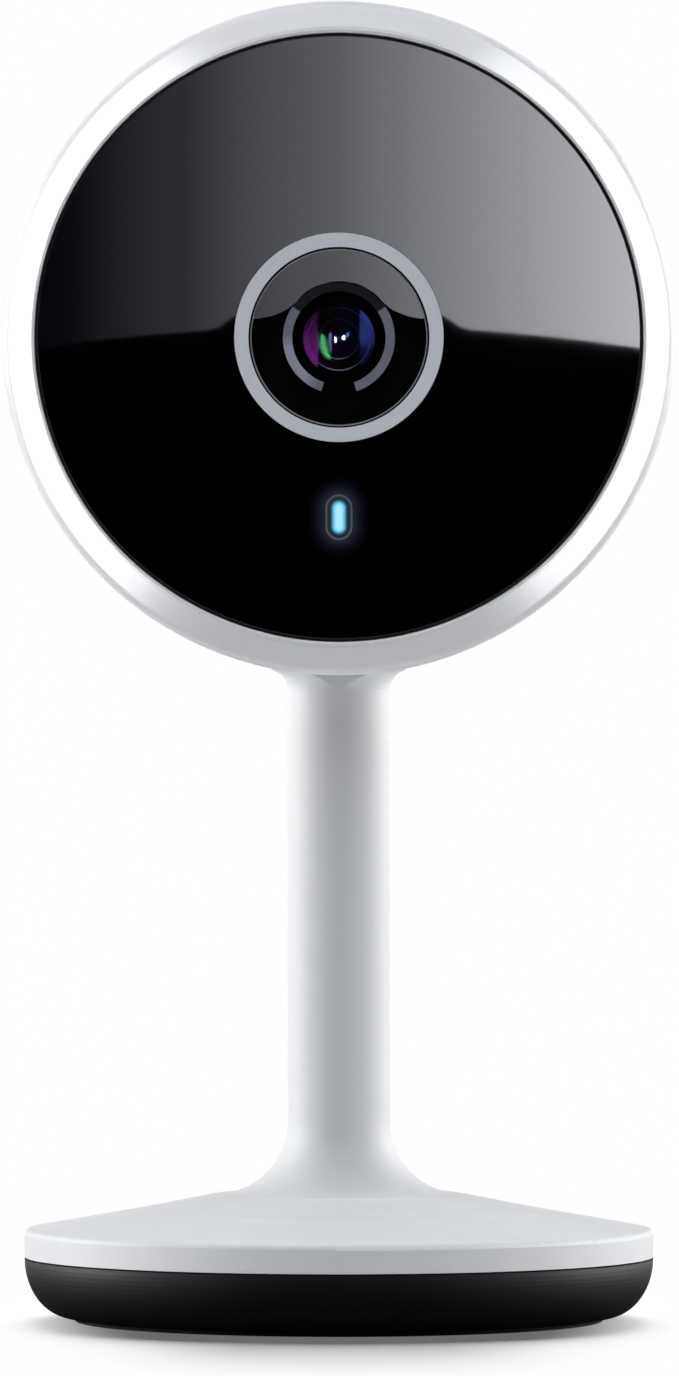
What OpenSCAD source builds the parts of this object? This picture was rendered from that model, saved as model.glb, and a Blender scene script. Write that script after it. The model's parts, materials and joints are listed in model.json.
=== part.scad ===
// Indoor security camera: a round head on a slim stand that swivels on a weighted foot.
// +Z is up, the lens looks along -Y, and the origin is the middle of the foot's underside.
// Sizes are in millimetres. Parts of the head are drawn in the head's own frame, where
// +Z is forwards, +Y is up and the origin is where the lens axis crosses the stem's axis.

/* [Head] */
// Outside diameter of the head
head_d = 62; // [61:0.5:66]
// Height of the lens axis above the table
axis_height = 90.9; // [84:0.1:100]
// Reach of the bezel's face in front of the stem's axis
face_reach = 13; // [12.6:0.1:14]
// Reach of the crown of the back behind the stem's axis
back_reach = 13.5; // [13.2:0.1:15]
// Wall of the two shells
shell_wall = 1.8; // [1.5:0.1:2]
// Rounding of the bezel's outer edge
bezel_edge = 1.6; // [1.2:0.1:1.8]
// Width of the bezel's face
bezel_width = 2.5; // [2.2:0.1:2.8]
// Slope of the bezel's face, in degrees
bezel_slope = 35; // [25:1:40]
// Width of the narrow land round the window
bezel_land = 0.3; // [0.15:0.05:0.4]
// Slope of that land, in degrees
land_slope = 20; // [5:1:25]
// Width of the chamfer on the bezel's inner edge
bezel_chamfer = 0.25; // [0.1:0.05:0.3]
// Slope of that chamfer, in degrees
chamfer_slope = 20; // [10:5:45]
// Radius that turns the side of the head into its back
back_edge = 7; // [6:0.5:7.5]
// Rise of the back's crown over its rim
back_crown = 0.8; // [0.4:0.1:1.2]
// Where the two shells part, in front of the stem's axis
split = 1; // [0.5:0.1:1.2]

/* [Front window] */
// Thickness of the front window
window_t = 1.5; // [1.2:0.1:1.8]
// Depth of the window below the bezel's face
window_inset = 0.5; // [0.3:0.1:0.7]
// Bevel on the window's edge
window_bevel = 0.25; // [0.1:0.05:0.4]
// Width of the ledge that the window is taped to
ledge_w = 1.55; // [1.4:0.05:2.1]
// Thickness of that ledge
ledge_t = 1.6; // [1.4:0.1:1.8]
// Thickness of the tape
tape_t = 0.2; // [0.1:0.05:0.3]
// Thickness of the black frame behind the window
frame_t = 1.4; // [1.2:0.1:1.6]

/* [Lens surround] */
// Outside diameter of the trim ring
trim_d = 19.2; // [18.6:0.1:20]
// Width of the trim ring's face
trim_w = 1.3; // [1:0.1:1.5]
// Height of the trim ring over the window
trim_proud = 0.3; // [0.1:0.1:0.5]
// Depth of the lens cover below the trim ring
cover_inset = 0.7; // [0.5:0.1:0.8]
// Thickness of the lens cover
cover_t = 1; // [0.8:0.1:1.1]

/* [Lens] */
// Diameter of the barrel's flange
barrel_d = 10.3; // [10:0.1:11]
// Height of the barrel's flange
barrel_flange_h = 3; // [2.6:0.1:3.2]
// Diameter of the barrel's threaded body
thread_d = 8; // [7.8:0.1:8.6]
// Width of the spring clip on the barrel's face
clip_w = 0.85; // [0.6:0.05:0.9]
// Thickness of that clip
clip_t = 0.4; // [0.3:0.05:0.5]
// Opening of the clip, in degrees
clip_gap = 37; // [20:1:60]
// Diameter of the front lens
front_lens_d = 6.9; // [6.6:0.1:7]
// Diameter of the middle lens
middle_lens_d = 5.8; // [5.6:0.1:6]
// Diameter of the rear lens
rear_lens_d = 4.6; // [4.4:0.1:4.8]
// Diameter of the aperture between the lenses
aperture_d = 3.9; // [3.4:0.1:4.2]

/* [Status light] */
// Distance of the status light below the lens axis
status_drop = 16.5; // [16:0.1:16.6]
// Width of its window
status_w = 2.5; // [2.2:0.1:2.8]
// Height of its window
status_h = 4.2; // [3.8:0.1:4.6]
// Width of the light pipe
pipe_w = 1.4; // [1.2:0.1:1.6]
// Height of the light pipe
pipe_h = 3.2; // [2.8:0.1:3.4]

/* [Stand] */
// Diameter of the stem
stem_d = 9.5; // [9:0.1:10]
// Diameter of the base
base_d = 58.4; // [54:0.1:64]
// Height of the black foot below the white stand
foot_h = 5.95; // [5.6:0.05:7]
// Height of the upright band on the stand's rim
band_h = 2.6; // [2:0.1:3.5]
// Slope of the stand's top, in degrees
top_slope = 9.8; // [9:0.1:12]
// Radius of the sweep from the top into the stem
sweep_r = 6.8; // [5.5:0.1:8]
// Radius of the flare under the head
flare_r = 1.85; // [1.5:0.05:2.2]
// Wall of the stand's hollow top
stand_wall = 1.8; // [1.5:0.1:2.2]
// Outside diameter of the steel tube in the stem
core_d = 4.8; // [4.4:0.1:5.2]

/* [Tilt hinge] */
// Height of the hinge screw over the bottom of the head
hinge_rise = 6; // [5.8:0.05:6.2]
// Half the length of the knuckle on top of the stem
knuckle_half = 6; // [5.6:0.1:6]
// Half the width of the flared neck
neck_half = 6.3; // [6.1:0.05:6.3]
// Diameter of the hinge screw
hinge_screw_d = 3; // [2.5:0.1:3.2]
// Tilt each way, in degrees
tilt_max = 25; // [15:1:25]
// Thickness of the steel hinge bracket
bracket_t = 1.2; // [1:0.1:1.3]
// Thickness of the friction washers
friction_t = 0.5; // [0.4:0.05:0.6]

/* [Foot and swivel] */
// Inset of the foot's flat underside from its rim
foot_inset = 4.2; // [3:0.1:5]
// Wall of the foot
cup_wall = 1.8; // [1.5:0.1:2.2]
// Floor of the foot
cup_floor = 2; // [1.8:0.1:2.2]
// Height of the rubber ring under the foot's shell
pad_proud = 0.4; // [0.3:0.05:0.6]
// Thickness of the rubber ring
pad_t = 1.2; // [1:0.1:1.4]
// Width of the rubber ring
pad_w = 7.4; // [5:0.1:8]
// Diameter of the swivel spigot
spigot_d = 12; // [11:0.5:13]
// Wall of the swivel's bearing tube
hub_wall = 2.5; // [2:0.1:2.8]
// Thickness of the steel ballast
ballast_t = 2.4; // [1.8:0.1:2.5]

/* [Boards] */
// Thickness of the main board
board_t = 1.2; // [1:0.1:1.4]
// Distance of the main board's front behind the stem's axis
board_back = 4; // [3.9:0.1:4.1]
// Thickness of the infrared board
ir_board_t = 1; // [0.8:0.1:1]
// Distance of the infrared board's edge inside the shell's wall
ir_inset = 7.6; // [7.4:0.1:8]
// Radius of the ring of infrared lamps
ir_lamp_r = 16.5; // [15.5:0.1:17]
// Number of infrared lamps
ir_lamps = 8; // [4:4:8]
// Distance of the shell screws inside the shell's wall
screw_inset = 4.7; // [4.3:0.1:4.8]

/* [Rear fittings] */
// Radius of the speaker
speaker_r = 9; // [8:0.1:9.5]
// Height of the speaker over the lens axis
speaker_y = 11; // [10.5:0.1:12]
// Spacing of the grille's holes
grille_pitch = 2.2; // [2:0.1:2.3]
// Radius of the grille's holes
grille_hole_r = 0.6; // [0.4:0.05:0.7]
// Distance of the power socket below the lens axis
usb_drop = 10; // [9:0.1:10.5]
// Distance of the reset button from the lens axis, sideways
reset_x = 13; // [12:0.1:14]
// Distance of the reset button below the lens axis
reset_drop = 8; // [7:0.1:9]
// Travel of the reset button
reset_travel = 0.35; // [0.2:0.05:0.4]
// Width of the memory card
card_w = 11; // [10.5:0.1:11.5]
// Length of the memory card
card_l = 15; // [14:0.1:15.5]
// Travel of the night filter
filter_travel = 6; // [5.6:0.1:6]

/* [Hidden] */
$fn = 64;

eps = 0.01;           // how far a cut runs past the face that it cuts
slide_gap = 0.15;     // gap between pieces that slide past each other
fit_gap = 0.1;        // gap round a piece that drops into its seat
run_gap = 0.05;       // radial gap of a shaft in its bore

head_r = head_d / 2;
shell_in = head_r - shell_wall;
opening_r = head_r - bezel_width - bezel_land - bezel_chamfer;
land_x = opening_r + bezel_chamfer + bezel_land;     // where the land turns into the bezel's face
land_z = face_reach - bezel_land * tan(land_slope);
bezel_x = head_r - bezel_edge;         // middle of the bezel's rounding
bezel_turn_x = bezel_x + bezel_edge * sin(bezel_slope);
bezel_turn_z = land_z - (bezel_turn_x - land_x) * tan(bezel_slope);
bezel_z = bezel_turn_z - bezel_edge * cos(bezel_slope);
window_front = face_reach - window_inset;
window_back = window_front - window_t;
ledge_front = window_back - tape_t;
ledge_back = ledge_front - ledge_t;
ledge_r = opening_r - ledge_w;
window_r = opening_r - fit_gap;
frame_r = ledge_r - slide_gap;
frame_back = ledge_front - frame_t;
tongue_t = 1;                          // reach of the rear shell's tongue inside the wall
tongue_top = split + 1.2;              // front end of that tongue
back_skin = shell_wall - back_reach;
crown_r = pow(head_r - back_edge, 2) / (2 * back_crown);

trim_r = trim_d / 2;
trim_bore = trim_r - trim_w;
trim_front = window_front + trim_proud;
trim_flange = 0.8;                     // overhang that holds the ring behind the window
pocket_z = ledge_front - 0.8;          // floor of the frame's pocket for the trim ring
cover_front = trim_front - cover_inset;
cover_back = cover_front - cover_t;
cover_ledge = 0.6;                     // width of the seat that the lens cover rests on

barrel_r = barrel_d / 2;
cover_room = 0.3;                      // gap between the lens cover and the clip
barrel_front = cover_back - cover_room - clip_t;
flange_back = barrel_front - barrel_flange_h;
thread_r = thread_d / 2;
lens_seat = 1.8;                       // depth of the front lens in the barrel
lip_depth = 0.5;                       // depth of the barrel's cone in front of the front lens
front_seat_z = barrel_front - lip_depth - lens_seat;
stop_t = 0.4;                          // thickness of the aperture ring
middle_front = front_seat_z - stop_t;
middle_t = 2;                          // thickness of the middle lens
middle_back = middle_front - middle_t;
rear_lens_t = 1.6;                     // thickness of the rear lens

board_front = -board_back;
board_rear = board_front - board_t;
board_r = shell_in - 2.2;
case_top = board_front + 3.5;          // where the filter case meets the lens holder
thread_end = case_top;                 // lower end of the barrel's threaded body
holder_plate_t = 1.4;                  // thickness of the lens holder's plate
holder_top = flange_back - 0.8;        // top of the lens holder's tube
holder_wall = 1.6;                     // wall of the lens holder's tube
case_half = 10;                        // half the filter case's length
case_low = -6.6;                       // lower side of the filter case
case_high = 11.6;                      // upper side of the filter case
shuttle_z = board_front + 2.1;         // underside of the filter shuttle
shuttle_t = 0.8;                       // thickness of the filter shuttle
shuttle_half = 3.3;                    // half the filter shuttle's height
shuttle_over = 3.2;                    // reach of the shuttle past each filter's middle
filter_half = 2.4;                     // half the width of each filter
rotor_y = 9;                           // height of the filter rotor over the lens axis
rotor_half_turn = 40;                  // swing of the rotor each way, in degrees
rotor_arm = filter_travel / 2 / sin(rotor_half_turn);
rotor_pin_r = 0.35;                    // radius of the rotor's pin

standoff_h = 1.8;                      // height of the frame's standoffs
ir_back = frame_back - standoff_h - ir_board_t;
ir_front = ir_back + ir_board_t;
ir_board_r = shell_in - ir_inset;
ir_hole_r = 12;                        // radius of the infrared board's opening
ir_tongue_x = 3;                       // half the width of the board's tongue under the status light
standoff_r = ir_board_r - 2;           // distance of the frame's standoffs from the lens axis
screw_ring_r = shell_in - screw_inset;

hinge_y = hinge_rise - head_r;
hinge_z = axis_height + hinge_y;
stem_r = stem_d / 2;
hinge_screw_r = hinge_screw_d / 2;
slot_half = neck_half + slide_gap;
slot_reach = (stem_r + hinge_rise * sin(tilt_max)) / cos(tilt_max) + 0.35;
ear_in = knuckle_half + 2 * run_gap + friction_t;
ear_out = ear_in + bracket_t;
web_low = hinge_y + stem_r + 0.45;     // underside of the bracket's web
ear_r = 2.9;                           // radius of the bracket's ears
bracket_half = 6;                      // half the depth of the bracket
tab_front = 3;                         // front face of the bracket's tabs
tab_x = ear_out + 3.4;                 // distance of the tab screws from the middle
tab_y = hinge_y + 4.8;                 // height of the tab screws
tab_boss_r = 2.4;                      // radius of the bosses for the tab screws
tab_screw_l = 5;                       // length of the tab screws
board_clear = 0.25;                    // gap between the infrared board and what lies under it
ir_cut_y = tab_y + tab_boss_r + board_clear;
ir_tongue_y = web_low + bracket_t + board_clear;
rib_t = 1.4;                           // thickness of the ribs beside the bosses

m2_r = 1;                              // radius of an M2 screw
m2_head_r = 1.9;
m2_head_h = 1.3;
m16_r = 0.8;                           // radius of an M1.6 screw
m16_head_r = 1.4;
m16_head_h = 0.9;
boss_r = 2.5;                          // radius of the bosses for the shell screws
screw_seat = back_skin + 2.2;          // where the heads of the shell screws sit
shell_screw_l = 10;                    // length of the shell screws

base_r = base_d / 2;
band_top = foot_h + band_h;
slope_tan = tan(top_slope);
sweep_axis_r = stem_r + sweep_r;
sweep_low_r = sweep_axis_r - sweep_r * sin(top_slope);
sweep_z = band_top + (base_r - sweep_low_r) * slope_tan + sweep_r * cos(top_slope);
rim_z = axis_height - sqrt(head_r * head_r - neck_half * neck_half);
flare_z = rim_z - 0.1 - flare_r;       // where the flare leaves the stem
hollow_top = band_top + 2.4;           // ceiling of the stand's hollow, by the hub
hollow_r = base_r - stand_wall;
spigot_r = spigot_d / 2;
hub_r = spigot_r + run_gap + hub_wall;
cup_low = pad_proud;
cup_in = cup_low + cup_floor;
cup_top = foot_h - slide_gap;
pad_out = base_r - foot_inset - 0.5;
hub_top = hollow_top - 0.6;
insert_r = core_d / 2;                 // radius of the brass insert, which shares the tube's bore
insert_l = 6;                          // length of the brass insert
retainer_t = 0.8;                      // thickness of the swivel's steel retainer
ballast_out = base_r - foot_inset - cup_wall + 0.8;

speaker_h = 4.2;                       // depth of the speaker
gasket_t = 0.4;                        // thickness of the foam ring
speaker_back = back_skin + gasket_t;
usb_w = 7.6;                           // width of the power socket
usb_h = 2.8;                           // height of the power socket
usb_l = 6.2;                           // length of the power socket
card_t = 0.75;                         // thickness of the memory card
card_low_y = -3.5;                     // lower edge of the memory card
card_end = head_r - 1.4;               // outer end of the memory card
card_z = board_rear - 0.95;            // middle of the memory card's thickness
card_push = 0.5;                       // travel that releases the memory card
button_r = 1.6;                        // radius of the reset button
switch_top = board_rear - 1.7;         // top of the reset switch

magnet_h = 1.4;                        // height of the speaker's magnet over its frame
chip_w = 9;                            // width of the main chip
chip_t = 1.3;                          // thickness of the main chip
chip_y = case_high + chip_w / 2 + 1.2; // height of the main chip over the lens axis
sink_w = chip_w + 1;                   // width of the heat sink
sink_base = 1.2;                       // thickness of the heat sink's base
fins = 5;                              // number of its fins
fin_t = 1;                             // thickness of a fin
fin_h = 2.8;                           // height of a fin
radio_x = 17.5;                        // distance of the radio module's middle from the lens axis, sideways
radio_y = -7.5;                        // height of the radio module's middle over the lens axis
radio_w = 11;                          // width of the radio module
radio_l = 12;                          // length of the radio module
radio_board_t = 0.8;                   // thickness of the radio module's board
radio_lid_t = 1.6;                     // height of its tin lid
radio_lid_shift = 0.75;                // how far the lid sits off the middle
radio_rim = 1;                         // how much of its board shows round the lid
memory_x = 17;                         // distance of the memory chip's middle from the lens axis, sideways
memory_y = 7;                          // height of the memory chip's middle over the lens axis
plug_x = 8.8;                          // distance of the speaker's plug from the lens axis, sideways
plug_y = -14;                          // height of the speaker's plug over the lens axis
lead_r = 0.35;                         // radius of the leads
ribbon_x = 15;                         // distance of the ribbon's sockets from the lens axis, sideways
ribbon_y = 14.5;                       // upper edge of the ribbon
ribbon_w = 5;                          // width of the ribbon
ribbon_t = 0.25;                       // thickness of the ribbon
ribbon_end = 3;                        // length of the ribbon in a socket
ribbon_bend = 1.75;                    // reach of the ribbon past its sockets
ribbon_socket = 0.9;                   // height of the ribbon's sockets

mic_z = 6.3;                           // distance of the microphone in front of the stem's axis
mic_r = 2;                             // radius of the microphone
mic_boot_r = 2.8;                      // radius of the microphone's rubber boot
mic_wall = 0.75;                       // wall of the cradle round that boot

// ---- helpers ----

// Turns the head's own frame into the camera's frame.
module at_head() translate([0, 0, axis_height]) rotate([90, 0, 0]) children();

// An upright pill outline.
module pill(w, h) {
  square([w, h - w], center = true);
  for (side = [-1, 1]) translate([0, side * (h - w) / 2]) circle(d = w);
}

// An upright prism from z0 to z1 over a flat outline.
module slab(z0, z1) translate([0, 0, z0]) linear_extrude(height = z1 - z0) children();

// A disc or rod along z.
module rod(r, z0, z1) translate([0, 0, z0]) cylinder(r = r, h = z1 - z0);

// A washer or tube along z.
module tube(r_out, r_in, z0, z1) difference() {
  rod(r_out, z0, z1);
  rod(r_in, z0 - eps, z1 + eps);
}

// A box given by its lowest and highest corners.
module block(low, high) translate(low) cube(high - low);

// Copies at the four shell screws.
module at_shell_screws() for (a = [45 : 90 : 315]) rotate(a) translate([screw_ring_r, 0]) children();

// Copies at the standoffs of the inner frame.
module at_standoffs() for (a = [90, 225, 315]) rotate(a) translate([standoff_r, 0]) children();

// Copies at the two tabs of the hinge bracket.
module at_tabs() for (side = [-1, 1]) translate([side * tab_x, tab_y]) children();

// Copies on the two sides of the lens, with the second one mirrored.
module both_sides() {
  children();
  mirror([1, 0, 0]) children();
}

// A pan-head screw: its head lies below z and its shank runs up from z.
module screw(r, l, head_r, head_h) {
  rod(r, 0, l);
  difference() {
    rod(head_r, -head_h, 0);
    for (turn = [0, 90]) rotate(turn) translate([0, 0, -head_h])
      cube([head_r * 1.1, head_r * 0.25, head_h], center = true);
  }
}

// A twelve-sided wire through a list of points, with each run carried a little past its bends.
module wire(points, r) {
  for (i = [0 : len(points) - 2]) {
    step = points[i + 1] - points[i];
    run = norm(step);
    translate(points[i]) rotate([0, acos(step.z / run), atan2(step.y, step.x)])
      translate([0, 0, -r / 2]) cylinder(r = r, h = run + r, $fn = 12);
  }
}

// ---- foot and swivel ----

// Outline of the foot from its flat underside to its rim, as a quarter of an ellipse.
function foot_edge(steps = 20) = [for (i = [0 : steps]) let (a = 90 * i / steps)
  [base_r - foot_inset + foot_inset * sin(a), cup_top - (cup_top - cup_low) * cos(a)]];

module ballast_spots() for (a = [30 : 120 : 270]) rotate(a)
  translate([(hub_r + ballast_out) / 2, 0]) children();

module base_cup() color("#1c1d20") {
  difference() {
    rotate_extrude() polygon(concat([[0, cup_low]], foot_edge(), [[0, cup_top]]));
    rod(base_r - foot_inset - cup_wall + 1, cup_in, cup_top + eps);
    tube_cut = base_r - cup_wall;
    rod(tube_cut, cup_in + ballast_t, cup_top + eps);
    rod(spigot_r + run_gap, cup_low - eps, cup_top + eps);
    rod(hub_r - 0.4, cup_low - eps, cup_in);
    tube(pad_out + fit_gap, pad_out - pad_w - fit_gap, cup_low - eps, pad_t);
    ballast_spots() rod(m2_r + run_gap, pad_t + 0.4, cup_top);
  }
  tube(hub_r, spigot_r + run_gap, cup_in, hub_top);
}

module foot_ring() color("#101113") tube(pad_out, pad_out - pad_w, 0, pad_t);

module ballast_plate() color("#8d9094") difference() {
  tube(ballast_out, hub_r + 0.3, cup_in, cup_in + ballast_t);
  ballast_spots() rod(m2_r + fit_gap, cup_in - eps, cup_in + ballast_t + eps);
}

module ballast_screws() color("#b9bcc0") ballast_spots()
  translate([0, 0, cup_in + ballast_t]) mirror([0, 0, 1])
    screw(m2_r, ballast_t + 0.6, m2_head_r, 0.6);

module swivel_washer() color("#e9e6dc") tube(hub_r, spigot_r + 0.3, hub_top, hub_top + 0.5);

module swivel_retainer() color("#a8abb0")
  tube(hub_r - 0.8, hinge_screw_r + fit_gap, cup_in - run_gap - retainer_t, cup_in - run_gap);

module swivel_screw() color("#b9bcc0") translate([0, 0, cup_in - run_gap - retainer_t])
  screw(hinge_screw_r, insert_l, 2.8, 0.9);

module swivel_insert() color("#c9a24c") difference() {
  tube(insert_r, hinge_screw_r + run_gap, cup_in, cup_in + insert_l);
  for (a = [0 : 30 : 150]) rotate(a) translate([0, 0, cup_in + insert_l / 2])
    cube([2 * insert_r + 1, 0.3, insert_l / 3], center = true);
}

// ---- stand ----

// Half outline of the white stand from its rim up to the stem.
module stand_outline() {
  edge = 0.5;
  difference() {
    union() {
      polygon([[0, foot_h], [base_r, foot_h], [base_r, band_top - edge],
        [base_r - edge, band_top], [sweep_low_r, band_top + (base_r - sweep_low_r) * slope_tan],
        [0, band_top + (base_r - sweep_low_r) * slope_tan]]);
      translate([base_r - edge, band_top - edge]) circle(r = edge);
      square([sweep_axis_r, sweep_z]);
    }
    translate([sweep_axis_r, sweep_z]) circle(r = sweep_r);
    translate([0, -eps]) square([base_r, foot_h + eps]);
    translate([sweep_low_r, band_top + (base_r - sweep_low_r) * slope_tan])
      square([base_r, sweep_z]);
  }
}

// Ribs under the stand's hollow top.
module stand_ribs() for (a = [0 : 60 : 300]) rotate(a)
  translate([hub_r + 1.2, -0.6, foot_h + 1]) cube([hollow_r - hub_r - 1, 1.2, hollow_top - foot_h - 1]);

module stand_hollow() {
  rise = (hollow_r - hub_r - 1) * slope_tan;
  rotate_extrude() polygon([[0, foot_h - 1], [hollow_r, foot_h - 1], [hollow_r, band_top - stand_wall],
    [hub_r + 1, min(band_top - stand_wall + rise, hollow_top)], [hub_r + 1, hollow_top], [0, hollow_top]]);
}

// The flared neck that fills the mouth of the head's slot.
module neck() intersection() {
  union() {
    rod(stem_r, sweep_z - eps, hinge_z);
    translate([0, 0, flare_z]) rotate_extrude() difference() {
      square([neck_half, flare_r]);
      translate([stem_r + flare_r, 0]) circle(r = flare_r);
    }
    rod(neck_half, flare_z + flare_r, hinge_z - ear_r - 0.8);
    block([-knuckle_half, -stem_r, flare_z + flare_r], [knuckle_half, stem_r, hinge_z]);
  }
  block([-base_r, -stem_r, 0], [base_r, stem_r, hinge_z]);
}

module stand_column() color("#f2f3f4") difference() {
  union() {
    difference() {
      rotate_extrude() stand_outline();
      stand_hollow();
    }
    intersection() {
      stand_ribs();
      rotate_extrude() stand_outline();
    }
    rod(spigot_r, cup_in, hollow_top + eps);
    neck();
    translate([0, 0, hinge_z]) rotate([0, 90, 0]) rod(stem_r, -knuckle_half, knuckle_half);
  }
  translate([0, 0, hinge_z]) rotate([0, 90, 0])
    rod(hinge_screw_r + run_gap, -knuckle_half - eps, knuckle_half + eps);
  rod(core_d / 2 + run_gap, cup_in - eps, flare_z);
}

module stem_core_tube() color("#9fa3a8")
  tube(core_d / 2, core_d / 2 - 0.9, cup_in + insert_l + 0.5, flare_z - 0.2);

// ---- shells of the head ----

// The slot under the head that the stem tilts in.
module neck_slot() block([-slot_half, -head_r - 1, -slot_reach], [slot_half, hinge_y + stem_r, slot_reach]);

// Half outline of the bezel: a narrow land, then a face that slopes back to a rounded outer edge.
module bezel_outline() difference() {
  union() {
    polygon([[0, split], [head_r, split], [head_r, bezel_z], [bezel_x, bezel_z],
      [bezel_turn_x, bezel_turn_z], [land_x, land_z], [opening_r + bezel_chamfer, face_reach], [0, face_reach]]);
    translate([bezel_x, bezel_z]) circle(r = bezel_edge);
  }
  translate([0, ledge_front]) square([opening_r, face_reach]);
  polygon([[opening_r - eps, face_reach - bezel_chamfer * tan(chamfer_slope)], [opening_r + bezel_chamfer, face_reach],
    [opening_r + bezel_chamfer, face_reach + 1], [opening_r - eps, face_reach + 1]]);
  translate([0, split - eps]) square([ledge_r, face_reach]);
  translate([0, split - eps]) square([shell_in, ledge_back - split + eps]);
  polygon([[head_r - 0.25, split - eps], [head_r + eps, split - eps], [head_r + eps, split + 0.25]]);
}

module front_bezel() color("#f4f5f6") at_head() {
  rib_low = tongue_top + 0.4;
  difference() {
    union() {
      rotate_extrude() bezel_outline();
      intersection() {
        union() {
          at_shell_screws() {
            rod(boss_r, board_front, ledge_back + eps);
            block([0, -rib_t / 2, rib_low], [screw_inset + 1, rib_t / 2, ledge_back + eps]);
          }
          at_tabs() rod(tab_boss_r, tab_front, ledge_back + eps);
          both_sides() block([tab_x - rib_t / 2, -shell_in, tab_front],
            [tab_x + rib_t / 2, tab_y, ledge_back + eps]);
          translate([0, 0, mic_z]) rotate([-90, 0, 0])
            rod(mic_boot_r + fit_gap + mic_wall, shell_in - 4, shell_in);
        }
        rod(shell_in + eps, board_front, ledge_front);
        difference() {
          rod(head_r, board_front, ledge_front);
          rod(ledge_r, ledge_back, ledge_front + eps);
        }
      }
    }
    neck_slot();
    at_shell_screws() rod(m2_r + run_gap, board_front - eps, screw_seat + shell_screw_l + 0.4);
    at_tabs() rod(m2_r + run_gap, tab_front - eps, ledge_back - 0.6);
    translate([0, 0, mic_z]) rotate([-90, 0, 0]) {
      rod(mic_boot_r + fit_gap, shell_in - 4.5, shell_in - 0.15);
      rod(0.5, shell_in - 1, head_r + 1);
    }
  }
}

module rear_outline() intersection() {
  difference() {
    union() {
      translate([0, back_edge - back_reach]) square([head_r, split + back_reach - back_edge]);
      translate([0, -back_reach]) square([head_r - back_edge, split + back_reach]);
      translate([head_r - back_edge, back_edge - back_reach]) circle(r = back_edge);
    }
    translate([0, back_edge - back_reach]) square([shell_in, split + back_reach]);
    translate([0, back_skin]) square([head_r - back_edge, split + back_reach]);
    intersection() {
      translate([head_r - back_edge, back_edge - back_reach]) circle(r = back_edge - shell_wall);
      square([4 * head_r, 4 * head_r], center = true);
    }
  }
  translate([0, crown_r - back_reach]) circle(r = crown_r, $fn = 200);
}

// The tongue that centres the rear shell in the bezel.
module rear_tongue() difference() {
  union() {
    tube(shell_in - fit_gap, shell_in - tongue_t, split - 2, tongue_top);
    tube(shell_in + eps, shell_in - tongue_t, split - 2, split);
  }
  at_shell_screws() rod(boss_r + 0.3, split - 3, tongue_top + 1);
  block([-tab_x, -head_r, split - 3], [tab_x, 0, tongue_top + 1]);
}

module card_slot() {
  slot_w = card_w + 0.6;
  mid = card_low_y + card_w / 2;
  block([-head_r - 1, mid - slot_w / 2, card_z - 0.65], [2 - shell_in, mid + slot_w / 2, card_z + 0.65]);
  translate([-head_r - 1.8, mid, card_z]) rotate([90, 0, 0]) rod(2.8, -slot_w / 2 - 0.4, slot_w / 2 + 0.4);
}

module grille_holes() translate([0, speaker_y, -back_reach - 1]) {
  cylinder(r = grille_hole_r, h = shell_wall + 2, $fn = 24);
  for (ring = [1 : 3], i = [0 : 6 * ring - 1]) rotate(60 / ring * i)
    translate([ring * grille_pitch, 0, 0]) cylinder(r = grille_hole_r, h = shell_wall + 2, $fn = 24);
}

module rear_shell() color("#f0f1f2") at_head() difference() {
  union() {
    rotate_extrude() rear_outline();
    rear_tongue();
    at_shell_screws() rod(boss_r, back_skin - eps, board_rear);
    translate([0, speaker_y, 0])
      tube(speaker_r + fit_gap + 1, speaker_r + fit_gap, back_skin - eps, back_skin + 2.6);
    translate([reset_x, -reset_drop, 0]) tube(button_r + 1.8, button_r + 0.9, back_skin - eps, back_skin + 1.6);
  }
  neck_slot();
  card_slot();
  grille_holes();
  at_shell_screws() {
    rod(m2_head_r + 0.2, -back_reach - 1, screw_seat);
    rod(m2_r + fit_gap, screw_seat - eps, board_rear + eps);
  }
  translate([0, -usb_drop, 0]) {
    slab(-back_reach - 1, back_skin + 1) rotate(90) pill(usb_h + 0.8, usb_w + 1);
    slab(-back_reach - 1, 0.9 - back_reach) rotate(90) pill(7.6, 12);
  }
  translate([reset_x, -reset_drop, 0]) rod(button_r + slide_gap, -back_reach - 1, back_skin + 2);
}

module housing_screws() color("#b9bcc0") at_head() at_shell_screws()
  translate([0, 0, screw_seat]) screw(m2_r, shell_screw_l, m2_head_r, m2_head_h);

// ---- window, frame and lens surround ----

module front_window() color("#08080a") at_head() difference() {
  rotate_extrude() polygon([[0, window_back], [window_r, window_back],
    [window_r, window_front - window_bevel], [window_r - window_bevel, window_front], [0, window_front]]);
  rod(trim_r + 0.05, window_back - eps, window_front + eps);
  translate([0, -status_drop, 0]) slab(window_back - eps, window_front + eps)
    pill(status_w + 0.1, status_h + 0.1);
}

module window_tape() color("#303236") at_head()
  tube(window_r - 0.1, ledge_r - 2.4, ledge_front, window_back);

module inner_frame() color("#17181b") at_head() difference() {
  union() {
    rod(frame_r, frame_back, ledge_front);
    at_standoffs() rod(1.8, ir_front, frame_back + eps);
  }
  rod(trim_r + trim_flange + fit_gap, pocket_z, ledge_front + eps);
  rod(barrel_r + 0.2, frame_back - eps, ledge_front);
  for (i = [0 : ir_lamps - 1]) rotate((i + 0.5) * 360 / ir_lamps) translate([ir_lamp_r, 0])
    rod(2.2, frame_back - eps, ledge_front + eps);
  translate([0, 14, 0]) rod(1.8, frame_back - eps, ledge_front + eps);
  translate([0, -status_drop, 0]) {
    slab(frame_back - eps, ledge_front + eps) pill(pipe_w + 0.2, pipe_h + 0.2);
    slab(ledge_front - 0.4, ledge_front + eps) pill(pipe_w + 1.2, pipe_h + 1.2);
  }
  at_standoffs() rod(m16_r + run_gap, ir_front - eps, ledge_front - 0.4);
}

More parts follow.
